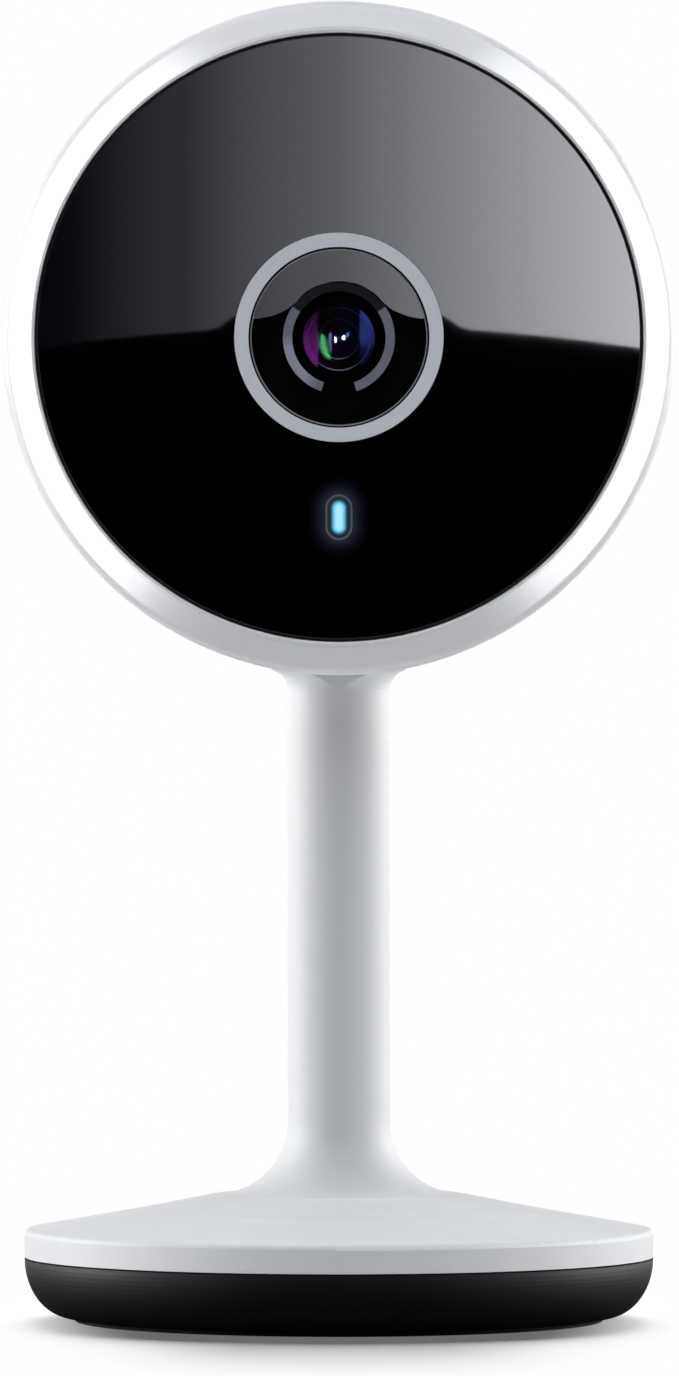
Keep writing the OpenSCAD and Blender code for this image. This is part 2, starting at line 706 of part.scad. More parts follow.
module lens_trim_ring() color("#b4b7ba") at_head() difference() {
  union() {
    rod(trim_r, pocket_z, trim_front);
    rod(trim_r + trim_flange, pocket_z, window_back);
  }
  rod(trim_bore, cover_back, trim_front + eps);
  rod(trim_bore - cover_ledge, pocket_z - eps, cover_back + eps);
}

module lens_cover() color("#20222699") at_head() rotate_extrude() polygon([[0, cover_back],
  [trim_bore - run_gap, cover_back], [trim_bore - run_gap, cover_front - 0.15],
  [trim_bore - run_gap - 0.15, cover_front], [0, cover_front]]);

// ---- lens and night filter ----

module lens_clip() color("#6d7180") at_head() rotate(90 + 180 + clip_gap / 2)
  rotate_extrude(angle = 360 - clip_gap) translate([barrel_r - clip_w, barrel_front]) square([clip_w, clip_t]);

module lens_barrel() color("#101114") at_head() difference() {
  union() {
    rod(barrel_r, flange_back, barrel_front);
    rod(thread_r, thread_end, flange_back + eps);
  }
  translate([0, 0, barrel_front - lip_depth])
    cylinder(r1 = front_lens_d / 2 + run_gap, r2 = barrel_r - clip_w, h = lip_depth + eps);
  rod(front_lens_d / 2 + run_gap, front_seat_z, barrel_front - lip_depth + eps);
  rod(middle_lens_d / 2 + run_gap, middle_back, front_seat_z + eps);
  rod(rear_lens_d / 2 + run_gap, thread_end - eps, middle_back + eps);
  for (i = [0 : 35]) rotate(10 * i) translate([barrel_r + 0.05, 0])
    rod(0.2, flange_back - eps, flange_back + 2);
}

// A round lens between two spherical faces, with its rim from z0 to z1.
module lens(r, z0, z1, bulge, hollow) difference() {
  intersection() {
    rod(r, z0, z1 + bulge);
    ball = (r * r + bulge * bulge) / (2 * bulge);
    translate([0, 0, z1 + bulge - ball]) sphere(r = ball, $fn = 96);
  }
  dish_r = r * 0.8;
  dish = (dish_r * dish_r + hollow * hollow) / (2 * hollow);
  translate([0, 0, z0 + hollow - dish]) sphere(r = dish, $fn = 96);
}

module front_lens() color("#30264fb0") at_head()
  lens(front_lens_d / 2, front_seat_z, front_seat_z + 0.9, 0.9, 0.7);

module middle_lens() color("#1d3a5cb0") at_head()
  lens(middle_lens_d / 2, middle_back, middle_front - 0.8, 0.7, 0.4);

module rear_lens() color("#20304cb0") at_head()
  lens(rear_lens_d / 2, middle_back - rear_lens_t, middle_back - 0.7, 0.6, 0.3);

module aperture_ring() color("#0c0c0e") at_head()
  tube(middle_lens_d / 2, aperture_d / 2, middle_front, front_seat_z);

module focus_lock_ring() color("#24262a") at_head() difference() {
  tube(thread_r + holder_wall, thread_r + run_gap, holder_top + fit_gap, flange_back - fit_gap);
  for (i = [0 : 17]) rotate(20 * i) translate([thread_r + holder_wall, 0]) rod(0.25, holder_top, flange_back);
}

module holder_screw_spots() for (x = [-1, 1], y = [case_low + 1.4, case_high - 1.6])
  translate([x * (case_half - 1.4), y]) children();

module lens_holder() color("#1b1c1f") at_head() difference() {
  union() {
    block([-case_half, case_low, case_top], [case_half, case_high, case_top + holder_plate_t]);
    rod(thread_r + holder_wall, case_top, holder_top);
  }
  rod(thread_r + run_gap, case_top - eps, holder_top + eps);
  holder_screw_spots() rod(m16_r + run_gap, case_top - eps, case_top + holder_plate_t + eps);
}

// Room for the shuttle, its tab and the rotor's swing.
module shuttle_room() {
  far = filter_travel + shuttle_over + 0.4;
  room_low = shuttle_z - 0.2;
  block([-far, -shuttle_half - 0.3, room_low], [far, shuttle_half + 0.3, case_top + eps]);
  tab_far = filter_travel / 2 + 1.7;
  block([-tab_far, 0, room_low], [tab_far, rotor_y - 2.2, case_top + eps]);
  translate([0, rotor_y, 0]) rod(1.9, board_front + 0.3, case_top + eps);
  arm_far = filter_travel / 2 + 1;
  block([-arm_far, rotor_y - rotor_arm - 1, room_low - 1], [arm_far, rotor_y, case_top + eps]);
}

module filter_case() color("#222326") at_head() difference() {
  block([-case_half, case_low, board_front], [case_half, case_high, case_top]);
  shuttle_room();
  block([-3.2, -3, board_front - eps], [3.2, 3, case_top + eps]);
  translate([5.4, rotor_y, (board_front + case_top) / 2]) rotate([90, 0, 0])
    rod(1.5, 1 - case_high + rotor_y, 1.9);
  holder_screw_spots() rod(m16_r + run_gap, board_front - eps, case_top + eps);
}

module filter_coil() color("#b5703a") at_head()
  translate([5.4, rotor_y, (board_front + case_top) / 2]) rotate([90, 0, 0])
    tube(1.4, 0.5, 1.2 - case_high + rotor_y, 1.7);

// Carries the daylight filter and the clear night glass side by side.
module filter_shuttle() color("#3a3d42") at_head() {
  difference() {
    union() {
      block([-shuttle_over, -shuttle_half, shuttle_z],
        [filter_travel + shuttle_over, shuttle_half, shuttle_z + shuttle_t]);
      block([filter_travel / 2 - 1.3, shuttle_half - eps, shuttle_z],
        [filter_travel / 2 + 1.3, rotor_y - 2.7, shuttle_z + shuttle_t]);
    }
    for (x = [0, filter_travel]) block([x - filter_half, -filter_half, shuttle_z - eps],
      [x + filter_half, filter_half, shuttle_z + shuttle_t + eps]);
    block([filter_travel / 2 - rotor_pin_r - 0.2, rotor_y - rotor_arm - 0.6, shuttle_z - eps],
      [filter_travel / 2 + rotor_pin_r + 0.2, rotor_y - 3.1, shuttle_z + shuttle_t + eps]);
  }
  for (x = [0, filter_travel]) block([x - filter_half, -filter_half, shuttle_z + 0.2],
    [x + filter_half, filter_half, shuttle_z + shuttle_t - 0.2]);
}

// The magnet that swings the shuttle by a pin on its arm.
module filter_rotor() color("#7b7e84") at_head() translate([0, rotor_y, 0]) {
  low = shuttle_z - 0.95;
  rod(1.6, board_front + 0.5, case_top - 0.2);
  rotate(rotor_half_turn) {
    block([-0.5, -rotor_arm, low], [0.5, 0, low + 0.6]);
    translate([0, -rotor_arm, 0]) rod(0.5, low, low + 0.6);
    translate([0, -rotor_arm, 0]) rod(rotor_pin_r, low, shuttle_z + shuttle_t - 0.1);
  }
}

module image_sensor() color("#2f4a3c") at_head() {
  block([-2.8, -2.6, board_front], [2.8, 2.6, board_front + 0.9]);
  block([-2.2, -1.8, board_front + 0.9], [2.2, 1.8, board_front + 1.2]);
}

// ---- boards ----

module main_board() color("#1f6b45") at_head() difference() {
  rod(board_r, board_rear, board_front);
  block([-ear_out - 1, -board_r, board_rear - eps],
    [ear_out + 1, web_low + bracket_t + 0.6, board_front + eps]);
  at_shell_screws() rod(m2_r + 0.15, board_rear - eps, board_front + eps);
  holder_screw_spots() rod(m16_r + run_gap, board_rear - eps, board_front + eps);
}

// A flat part on the front of the main board, by its middle and its size.
module on_board(at, size) translate([at.x - size.x / 2, at.y - size.y / 2, board_front]) cube(size);

// The same on the back of the main board.
module under_board(at, size) translate([at.x - size.x / 2, at.y - size.y / 2, board_rear - size.z]) cube(size);

module main_chip() color("#1a1b1d") at_head() on_board([0, chip_y], [chip_w, chip_w, chip_t]);

module heat_sink() color("#c3c6ca") at_head() translate([0, chip_y, chip_t]) {
  fin_pitch = (sink_w - fin_t) / (fins - 1);
  on_board([0, 0], [sink_w, sink_w, sink_base]);
  translate([0, 0, sink_base - eps]) for (i = [0 : fins - 1])
    on_board([i * fin_pitch - (sink_w - fin_t) / 2, 0], [fin_t, sink_w, fin_h]);
}

module wifi_module() color("#c8cacd") at_head() translate([radio_x, radio_y, 0]) {
  on_board([0, 0], [radio_w, radio_l, radio_board_t]);
  translate([0, radio_lid_shift, radio_board_t - eps])
    on_board([0, 0], [radio_w - radio_rim, radio_l - 2 * radio_lid_shift - radio_rim, radio_lid_t]);
}

module antenna_strip() color("#a8682e") at_head() rotate(-20)
  rotate_extrude(angle = 46) translate([shell_in - 0.35, split + 1.7]) square([0.3, 5]);

module board_parts() color("#2b2c2f") at_head() {
  on_board([-memory_x, memory_y], [7, 8, 1.1]);
  on_board([-memory_x, -memory_y + 2], [6, 6, 1]);
  on_board([memory_x - 0.5, memory_y - 1.5], [4, 4, 2]);
  for (i = [0 : 3]) on_board([board_r - 5.9, 2 * i + 0.4], [1.2, 0.8, 0.7]);
  for (i = [0 : 4]) on_board([-memory_x - 3.9 + 2.1 * i, -10.5], [1.2, 1, 0.7]);
  under_board([plug_x, plug_y], [4.5, 3, 3]);
  for (i = [0 : 3]) under_board([memory_x, 2 * i - 1], [2, 1, 0.8]);
}

// A flat cable that runs down from the infrared board, round one side, to the main board.
module ribbon_cable() color("#e4e2d8") at_head() translate([0, ribbon_y, 0]) rotate([90, 0, 0])
  linear_extrude(height = ribbon_w) {
    low = board_front + ribbon_socket;
    high = ir_back - ribbon_socket;
    difference() {
      translate([ribbon_x - ribbon_end, low]) square([ribbon_end + ribbon_bend, high - low]);
      translate([ribbon_x - ribbon_end - 1, low + ribbon_t])
        square([ribbon_end + ribbon_bend + 1 - ribbon_t, high - low - 2 * ribbon_t]);
    }
    for (z = [board_front, ir_back - ribbon_socket - eps])
      translate([ribbon_x - ribbon_end - 1, z]) square([ribbon_end, ribbon_socket + eps]);
  }

module internal_leads() color("#b3262a") at_head() {
  low = speaker_back + speaker_h - magnet_h + lead_r;
  for (side = [-2, 2]) wire([[side * lead_r + plug_x, plug_y + 1.7, board_rear - 1.8],
    [side * lead_r + plug_x, -6, low], [side * lead_r + plug_x + 1, 1, low],
    [side * lead_r + speaker_r, speaker_y - 5.4, low],
    [side * lead_r + speaker_r - 2.4, speaker_y - 2.6, low]], lead_r);
  wire([[shell_in - 0.35 - lead_r, 1.5, split + 3], [shell_in - 2.4, -0.5, split + 1.5],
    [radio_x + radio_w / 2 - 0.7, radio_y + 4.5, 0.5],
    [radio_x + radio_w / 2 - 2.1, radio_y + 3, board_front + radio_board_t + radio_lid_t + lead_r]], lead_r);
}

// ---- rear fittings ----

module usb_socket() color("#b8bbc0") at_head() translate([0, -usb_drop, 0]) {
  difference() {
    slab(board_rear - usb_l, board_rear) rotate(90) pill(usb_h, usb_w);
    slab(board_rear - usb_l - eps, board_rear - 1) rotate(90) pill(usb_h - 0.6, usb_w - 0.6);
  }
  block([-2, -0.35, board_rear - usb_l + 1], [2, 0.35, board_rear - 0.5]);
}

module card_socket() color("#aeb1b6") at_head() difference() {
  mid = card_low_y + card_w / 2;
  block([3 - board_r, mid - card_w / 2 - 1.3, board_rear - 1.7],
    [card_l + 1.4 - card_end, mid + card_w / 2 + 1.3, board_rear]);
  block([-board_r, mid - card_w / 2 - 0.2, card_z - card_t / 2 - 0.15],
    [card_l + card_push + 0.3 - card_end, mid + card_w / 2 + 0.2, card_z + card_t / 2 + 0.15]);
}

module memory_card() color("#1b1c1e") at_head() difference() {
  block([-card_end, card_low_y, card_z - card_t / 2],
    [card_l - card_end, card_low_y + card_w, card_z + card_t / 2]);
  translate([card_l - card_end, card_low_y - eps, card_z - card_t]) rotate(45) cube([1.6, 1.6, 2 * card_t]);
}

module reset_switch() color("#8e9196") at_head() translate([reset_x, -reset_drop, 0]) {
  block([-2.25, -2.25, board_rear - 1.5], [2.25, 2.25, board_rear]);
  rod(1, switch_top, board_rear - 1.5 + eps);
}

module reset_button() color("#d9dbde") at_head() translate([reset_x, -reset_drop, 0]) {
  rod(button_r, 0.5 - back_reach, switch_top - reset_travel - 0.1);
  rod(button_r + 0.7, back_skin + 0.15, back_skin + 0.75);
}

module speaker_frame() color("#4b4e53") at_head() translate([0, speaker_y, 0]) {
  front = speaker_back + speaker_h;
  step = 0.5;
  difference() {
    rod(speaker_r, speaker_back, front - magnet_h);
    translate([0, 0, speaker_back - eps]) cylinder(r1 = speaker_r - 0.8, r2 = 3.4, h = speaker_h - 2.4);
  }
  rod(speaker_r - 3, front - magnet_h - eps, front - magnet_h + step);
  rod(speaker_r - 4, front - magnet_h + step - eps, front);
}

module speaker_cone() color("#26282b") at_head() translate([0, speaker_y, 0]) {
  difference() {
    translate([0, 0, speaker_back + 0.15]) cylinder(r1 = speaker_r - 1.5, r2 = 3, h = speaker_h - 2.7);
    translate([0, 0, speaker_back + 0.15 - eps]) cylinder(r1 = speaker_r - 1.9, r2 = 2.6, h = speaker_h - 2.9);
  }
  intersection() {
    translate([0, 0, speaker_back + 3.9]) sphere(r = 3.4);
    rod(2.9, speaker_back, speaker_back + speaker_h - 2.7);
  }
}

module speaker_gasket() color("#0f1012") at_head() translate([0, speaker_y, 0])
  tube(speaker_r, speaker_r - 1.2, back_skin, speaker_back);

module microphone() color("#b8bbbf") at_head() translate([0, 0, mic_z]) rotate([-90, 0, 0])
  rod(mic_r, shell_in - 2.4, shell_in - 1);

module microphone_boot() color("#151618") at_head() translate([0, 0, mic_z]) rotate([-90, 0, 0])
  difference() {
    rod(mic_boot_r, shell_in - 3.4, shell_in - 0.3);
    rod(mic_r, shell_in - 2.4, shell_in - 1);
    rod(0.5, shell_in - 1 - eps, shell_in);
    rod(1.4, shell_in - 4, shell_in - 2.4 + eps);
  }

module ir_board() color("#1f6b45") at_head() difference() {
  tube(ir_board_r, ir_hole_r, ir_back, ir_front);
  block([-ir_board_r, -ir_board_r - 1, ir_back - eps], [ir_board_r, ir_tongue_y, ir_front + eps]);
  both_sides() block([ir_tongue_x, -ir_board_r, ir_back - eps], [ir_board_r, ir_cut_y, ir_front + eps]);
  at_standoffs() rod(m16_r + run_gap, ir_back - eps, ir_front + eps);
}

module ir_lamp_set() color("#e8e3c4") at_head() for (i = [0 : ir_lamps - 1])
  rotate((i + 0.5) * 360 / ir_lamps) translate([ir_lamp_r, 0]) {
    block([-1.4, -1.75, ir_front], [1.4, 1.75, ir_front + 0.8]);
    rod(1.2, ir_front + 0.8 - eps, ir_front + 1.5);
  }

module light_sensor() color("#c9d4dc") at_head() translate([0, 14, 0]) {
  rod(1.5, ir_front, ir_front + 1);
  translate([0, 0, ir_front + 0.9]) intersection() {
    sphere(r = 1.2);
    rod(1.3, 0, 1.3);
  }
}

module status_leds() color("#f2f6f8") at_head() for (side = [-1, 1])
  block([-0.4, side * 0.9 - status_drop - 0.5, ir_front],
    [0.4, side * 0.9 - status_drop + 0.5, ir_front + 0.6]);

module status_window() color("#3d4247b0") at_head() translate([0, -status_drop, 0])
  difference() {
    slab(window_back, window_front) pill(status_w, status_h);
    slab(window_back - eps, window_front + eps) pill(pipe_w + 0.1, pipe_h + 0.1);
  }

module status_light_pipe() color("#8fdcff") at_head() translate([0, -status_drop, 0]) {
  slab(ir_front + 0.8, window_front - 0.1) pill(pipe_w, pipe_h);
  slab(ledge_front - 0.35, ledge_front) pill(pipe_w + 0.9, pipe_h + 0.9);
}

module inner_screws() color("#b9bcc0") at_head() {
  at_standoffs() translate([0, 0, ir_back]) screw(m16_r, standoff_h + ir_board_t, m16_head_r, m16_head_h);
  holder_screw_spots() translate([0, 0, case_top + holder_plate_t]) mirror([0, 0, 1])
    screw(m16_r, case_top + holder_plate_t - board_rear, m16_head_r, m16_head_h);
  at_tabs() translate([0, 0, tab_front - bracket_t]) screw(m2_r, tab_screw_l, m2_head_r, m2_head_h);
}

// ---- tilt hinge ----

module hinge_bracket() color("#a4a8ad") at_head() difference() {
  union() {
    block([-ear_out, web_low, -bracket_half], [ear_out, web_low + bracket_t, bracket_half]);
    both_sides() {
      block([ear_in, hinge_y, -ear_r], [ear_out, web_low + eps, ear_r]);
      translate([0, hinge_y, 0]) rotate([0, 90, 0]) rod(ear_r, ear_in, ear_out);
      block([ear_in, tab_y - 2, tab_front - bracket_t], [tab_x + 2.2, tab_y + 1.7, tab_front]);
    }
  }
  translate([0, hinge_y, 0]) rotate([0, 90, 0]) rod(hinge_screw_r + run_gap, -ear_out - eps, ear_out + eps);
  at_tabs() rod(m2_r + fit_gap, tab_front - bracket_t - eps, tab_front + eps);
}

module hinge_screw() color("#c2c5c9") at_head() translate([-ear_out, hinge_y, 0]) rotate([0, 90, 0])
  screw(hinge_screw_r, 2 * ear_out + 2.2, 2.5, 1.2);

module hinge_nut() color("#c2c5c9") at_head() translate([ear_out + run_gap, hinge_y, 0]) rotate([0, 90, 0])
  difference() {
    cylinder(r = 2.7, h = 1.8, $fn = 6);
    rod(hinge_screw_r + run_gap, -eps, 1.8 + eps);
  }

module friction_washers() color("#d8c9a0") at_head() translate([0, hinge_y, 0]) rotate([0, 90, 0])
  for (side = [-1, 1]) translate([0, 0, side * (knuckle_half + run_gap + friction_t / 2)])
    tube(3.2, hinge_screw_r + run_gap, -friction_t / 2, friction_t / 2);

base_cup();
foot_ring();
ballast_plate();
ballast_screws();
swivel_washer();
stand_column();
stem_core_tube();
swivel_insert();
swivel_retainer();
swivel_screw();
front_bezel();
rear_shell();
front_window();
window_tape();
inner_frame();
housing_screws();
lens_trim_ring();
lens_cover();
lens_clip();
lens_barrel();
front_lens();
middle_lens();
rear_lens();
aperture_ring();
focus_lock_ring();
lens_holder();
filter_case();
filter_coil();
filter_shuttle();
filter_rotor();
image_sensor();
main_board();
main_chip();
heat_sink();
wifi_module();
antenna_strip();
internal_leads();
board_parts();
ribbon_cable();
usb_socket();
card_socket();
memory_card();
reset_switch();
reset_button();
speaker_frame();
speaker_cone();
speaker_gasket();
microphone();
microphone_boot();
ir_board();
ir_lamp_set();
light_sensor();
status_leds();
status_window();
status_light_pipe();
inner_screws();
hinge_bracket();
hinge_screw();
hinge_nut();
friction_washers();
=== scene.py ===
"""Indoor security camera on a swivelling stand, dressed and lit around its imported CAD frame.

Each sub-assembly of the camera is a class that dresses its CAD nodes and adds the small pieces that
the CAD leaves to this file. Each finish is a frozen dataclass that makes one node material. Lengths
are metres in the CAD's frame: +Z is up and the lens looks along -Y.
"""

from __future__ import annotations

import json
import logging
import math
from dataclasses import dataclass, field
from enum import Enum
from typing import Any

import bmesh
import bpy
from mathutils import Matrix, Vector

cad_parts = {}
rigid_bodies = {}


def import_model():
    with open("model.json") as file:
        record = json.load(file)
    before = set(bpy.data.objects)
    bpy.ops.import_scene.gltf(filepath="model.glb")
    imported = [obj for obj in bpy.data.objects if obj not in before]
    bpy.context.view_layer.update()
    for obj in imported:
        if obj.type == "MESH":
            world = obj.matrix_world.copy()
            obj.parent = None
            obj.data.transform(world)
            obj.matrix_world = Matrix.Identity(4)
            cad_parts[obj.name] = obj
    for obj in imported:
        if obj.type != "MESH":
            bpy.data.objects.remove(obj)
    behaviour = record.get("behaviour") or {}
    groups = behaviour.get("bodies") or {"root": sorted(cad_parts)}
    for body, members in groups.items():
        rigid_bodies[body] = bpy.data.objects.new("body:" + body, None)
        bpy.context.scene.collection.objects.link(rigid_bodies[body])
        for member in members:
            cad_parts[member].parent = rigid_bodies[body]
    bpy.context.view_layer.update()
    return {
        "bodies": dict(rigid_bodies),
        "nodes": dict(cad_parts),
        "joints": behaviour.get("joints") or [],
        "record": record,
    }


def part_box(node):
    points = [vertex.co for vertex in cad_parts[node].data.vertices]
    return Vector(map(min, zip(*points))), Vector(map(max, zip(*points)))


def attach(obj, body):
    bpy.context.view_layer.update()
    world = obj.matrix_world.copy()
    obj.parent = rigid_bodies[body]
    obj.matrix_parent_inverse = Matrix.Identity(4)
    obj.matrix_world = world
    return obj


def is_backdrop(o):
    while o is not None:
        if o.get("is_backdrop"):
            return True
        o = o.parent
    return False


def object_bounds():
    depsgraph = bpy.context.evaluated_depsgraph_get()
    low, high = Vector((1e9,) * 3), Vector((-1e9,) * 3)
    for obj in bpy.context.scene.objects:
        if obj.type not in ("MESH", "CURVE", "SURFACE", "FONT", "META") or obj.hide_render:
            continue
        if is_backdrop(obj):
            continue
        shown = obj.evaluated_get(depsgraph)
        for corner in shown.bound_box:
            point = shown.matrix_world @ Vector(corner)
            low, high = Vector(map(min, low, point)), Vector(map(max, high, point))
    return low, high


MM = 0.001
UM = 0.000001
# Radius of the ball that the front lens's dome belongs to. The lens mirrors as that ball does.
DOME_RADIUS = 7.0 * MM
LOG = logging.getLogger("security_camera")
Node = bpy.types.Node
Socket = bpy.types.NodeSocket
Tree = bpy.types.NodeTree
Colour = tuple[float, float, float, float]
WHITE: Colour = (1.0, 1.0, 1.0, 1.0)
BLACK: Colour = (0.0, 0.0, 0.0, 1.0)


# ---- small tools ----


def linear(code: str) -> Colour:
    """Turns an sRGB hex colour into the linear colour that a shader takes.

    Args:
        code: Six hex digits after a hash, such as "#f4f5f6".

    Returns:
        Linear red, green and blue with an alpha of 1.
    """
    parts = [int(code[i : i + 2], 16) / 255 for i in (1, 3, 5)]
    red, green, blue = (p / 12.92 if p <= 0.04045 else ((p + 0.055) / 1.055) ** 2.4 for p in parts)
    return red, green, blue, 1.0


def add_node(tree: Tree, kind: str, inputs: dict[Any, Any] | None = None, **settings: Any) -> Node:
    """Adds one node with its settings, and sets or links its inputs.

    Args:
        tree: The node tree that gets the node.
        kind: Blender's name of the node, without the word ShaderNode.
        inputs: Values by input name or number. A socket, or the first one of a node, is linked, and
            anything else is set.
        settings: Properties of the node.

    Returns:
        The new node.
    """
    node = tree.nodes.new("ShaderNode" + kind)
    for key, value in settings.items():
        setattr(node, key, value)
    for key, value in (inputs or {}).items():
        source = value.outputs[0] if isinstance(value, Node) else value
        if isinstance(source, Socket):
            tree.links.new(source, node.inputs[key])
        else:
            node.inputs[key].default_value = source
    return node


def set_stops(ramp: bpy.types.ColorRamp, stops: tuple[tuple[float, str], ...]) -> None:
    """Sets the colours along a ramp.

    Args:
        ramp: The ramp.
        stops: Position from 0 to 1 and sRGB hex colour of each stop, in order.
    """
    while len(ramp.elements) < len(stops):
        ramp.elements.new(0.5)
    for element, (position, code) in zip(ramp.elements, stops):
        element.position, element.color = position, linear(code)


def blank_material(name: str) -> tuple[bpy.types.Material, Tree]:
    """Makes a material with an empty node tree.

    Args:
        name: The material's name.

    Returns:
        The material and its tree.
    """
    material = bpy.data.materials.new(name)
    material.use_nodes = True
    material.node_tree.nodes.clear()
    return material, material.node_tree


def linked(name: str, data: bpy.types.ID) -> bpy.types.Object:
    """Makes an object and links it to the scene.

    Args:
        name: The object's name.
        data: Its mesh, lamp or camera.

    Returns:
        The new object.
    """
    made = bpy.data.objects.new(name, data)
    bpy.context.scene.collection.objects.link(made)
    return made


def make_object(
    name: str, points: list[Vector], faces: list[tuple[int, ...]], smooth: bool = True,
) -> bpy.types.Object:
    """Makes a mesh object from points and faces.

    Args:
        name: The object's name.
        points: Corners in the row frame, in metres.
        faces: Corner numbers of each face.
        smooth: Whether its faces are shaded smooth.

    Returns:
        The new object.
    """
    mesh = bpy.data.meshes.new(name)
    mesh.from_pydata(points, [], faces)
    mesh.polygons.foreach_set("use_smooth", [smooth] * len(mesh.polygons))
    mesh.update()
    return linked(name, mesh)


def turned(
    name: str,
    outlines: list[list[tuple[float, float]]],
    centre: Vector,
    segments: int = 128,
    closed: bool = False,
    upright: bool = False,
    smooth: bool = True,
) -> bpy.types.Object:
    """Turns outlines round an axis.

    Args:
        name: The object's name.
        outlines: Radius and place along the axis of each point of each outline, in metres.
        centre: A point on the axis. Its place along the axis isn't used.
        segments: Number of steps round the axis.
        closed: Whether each outline's last point joins its first.
        upright: Whether the axis lies along Z. Otherwise it lies along Y.
        smooth: Whether the faces are shaded smooth.

    Returns:
        The turned surfaces as one object.
    """
    points, faces = [], []
    for outline in outlines:
        start, rows = len(points), len(outline)
        for step in range(segments):
            angle = 2 * math.pi * step / segments
            here, there = start + step * rows, start + (step + 1) % segments * rows
            for index, (radius, along) in enumerate(outline):
                side, rise = radius * math.sin(angle), radius * math.cos(angle)
                lying = (centre.x + side, along, centre.z + rise)
                points.append(Vector((centre.x + rise, centre.y + side, along) if upright else lying))
                over = (index + 1) % rows
                if closed or over:
                    faces.append((here + index, here + over, there + over, there + index))
    return make_object(name, points, faces, smooth)


def middle(node: str) -> Vector:
    """Returns the middle of a node's box."""
    low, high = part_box(node)
    return (low + high) / 2


def half_width(node: str) -> float:
    """Returns half the width of a node's box."""
    low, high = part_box(node)
    return (high.x - low.x) / 2


# ---- finishes ----


@dataclass(frozen=True)
class Finish:
    """A real material together with the process that made its surface."""

    name: str
    colour: str
    roughness: float = 0.4

    def material(self) -> bpy.types.Material:
        """Makes this finish's material, once.

        Returns:
            The material, which all that has this finish shares.
        """
        found = bpy.data.materials.get(self.name)
        if found is None:
            found, tree = blank_material(self.name)
            found.diffuse_color = linear(self.colour)
            shader = self.surface(tree, add_node(tree, "TexCoord").outputs["Object"])
            add_node(tree, "OutputMaterial", {"Surface": shader})
        return found

    def surface(self, tree: Tree, place: Socket) -> Node:
        """Builds the shader.

        Args:
            tree: The material's node tree.
            place: Coordinates in metres in the row frame.

        Returns:
            The shader.
        """
        raise NotImplementedError


@dataclass(frozen=True)
class GrainedFinish(Finish):
    """A finish whose fine grain dents and dulls it, while slow clouds darken it."""

    relief_um: float = 1.5
    gloss_spread: float = 0.04
    cloud_mm: float = 9.0
    cloud_depth: float = 0.03

    def grained(self, tree: Tree, clouds: Node, grain: Node, look: dict[str, float]) -> Node:
        """Builds the shader from its two patterns.

        Args:
            tree: The material's node tree.
            clouds: Share of the full colour, from 0 to 1. The rest is darker by the clouds' depth.
            grain: The grain's height, from 0 to 1.
            look: Other values of the shader.

        Returns:
            The shader.
        """
        red, green, blue, _ = linear(self.colour)
        low = 1.0 - self.cloud_depth
        tone = add_node(
            tree, "Mix", {0: clouds, 6: (red * low, green * low, blue * low, 1.0), 7: (red, green, blue, 1.0)},
            data_type="RGBA",
        )
        least, most = self.roughness - self.gloss_spread, self.roughness + self.gloss_spread
        gloss = add_node(tree, "MapRange", {"Value": grain, "To Min": least, "To Max": most})
        bump = add_node(tree, "Bump", {"Height": grain, "Strength": 1.0, "Distance": self.relief_um * UM})
        inputs = {"Base Color": tone.outputs[2], "Roughness": gloss, "Normal": bump}
        return add_node(tree, "BsdfPrincipled", inputs | look)


@dataclass(frozen=True)
class MouldedPlastic(GrainedFinish):
    """Injection-moulded plastic. Spark-eroded steel leaves fine pits, so a lamp shows as a soft patch."""

    ior: float = 1.53
    grit_mm: float = 0.22
    stretch: tuple[float, float, float] = (1.0, 1.0, 1.0)
    shine: float = 0.5

    def surface(self, tree: Tree, place: Socket) -> Node:
        """Builds the shader: pits for the gloss and bump, and faint clouds where the melt cooled unevenly.

        Args:
            tree: The material's node tree.
            place: Coordinates in metres in the row frame.

        Returns:
            The shader.
        """
        drawn = add_node(tree, "Mapping", {"Vector": place, "Scale": self.stretch})
        clouds = add_node(tree, "TexNoise", {"Vector": drawn, "Scale": 1 / (self.cloud_mm * MM), "Detail": 4.0})
        grit = add_node(tree, "TexNoise", {"Vector": place, "Scale": 1 / (self.grit_mm * MM), "Detail": 2.0})
        spread = add_node(tree, "MapRange", {"Value": clouds, "From Min": 0.3, "From Max": 0.7})
        return self.grained(tree, spread, grit, {"IOR": self.ior, "Specular IOR Level": self.shine})


@dataclass(frozen=True)
class Metal(GrainedFinish):
    """Bare or plated metal. Rolling or turning scratches it along one way, and its plating dulls in clouds."""

    relief_um: float = 1.0
    gloss_spread: float = 0.08
    cloud_mm: float = 3.0
    cloud_depth: float = 0.12
    scratch_mm: tuple[float, float, float] = (0.15, 0.15, 1.5)

    def surface(self, tree: Tree, place: Socket) -> Node:
        """Builds the shader: stretched noise for the scratches and a slow cloud of dulled plating.

        Args:
            tree: The material's node tree.
            place: Coordinates in metres in the row frame.

        Returns:
            The shader.
        """
        scale = tuple(1 / (size * MM) for size in self.scratch_mm)
        drawn = add_node(tree, "Mapping", {"Vector": place, "Scale": scale})
        scratches = add_node(tree, "TexNoise", {"Vector": drawn, "Scale": 1.0, "Detail": 3.0})
        clouds = add_node(tree, "TexNoise", {"Vector": place, "Scale": 1 / (self.cloud_mm * MM), "Detail": 2.0})
        return self.grained(tree, clouds, scratches, {"Metallic": 1.0})


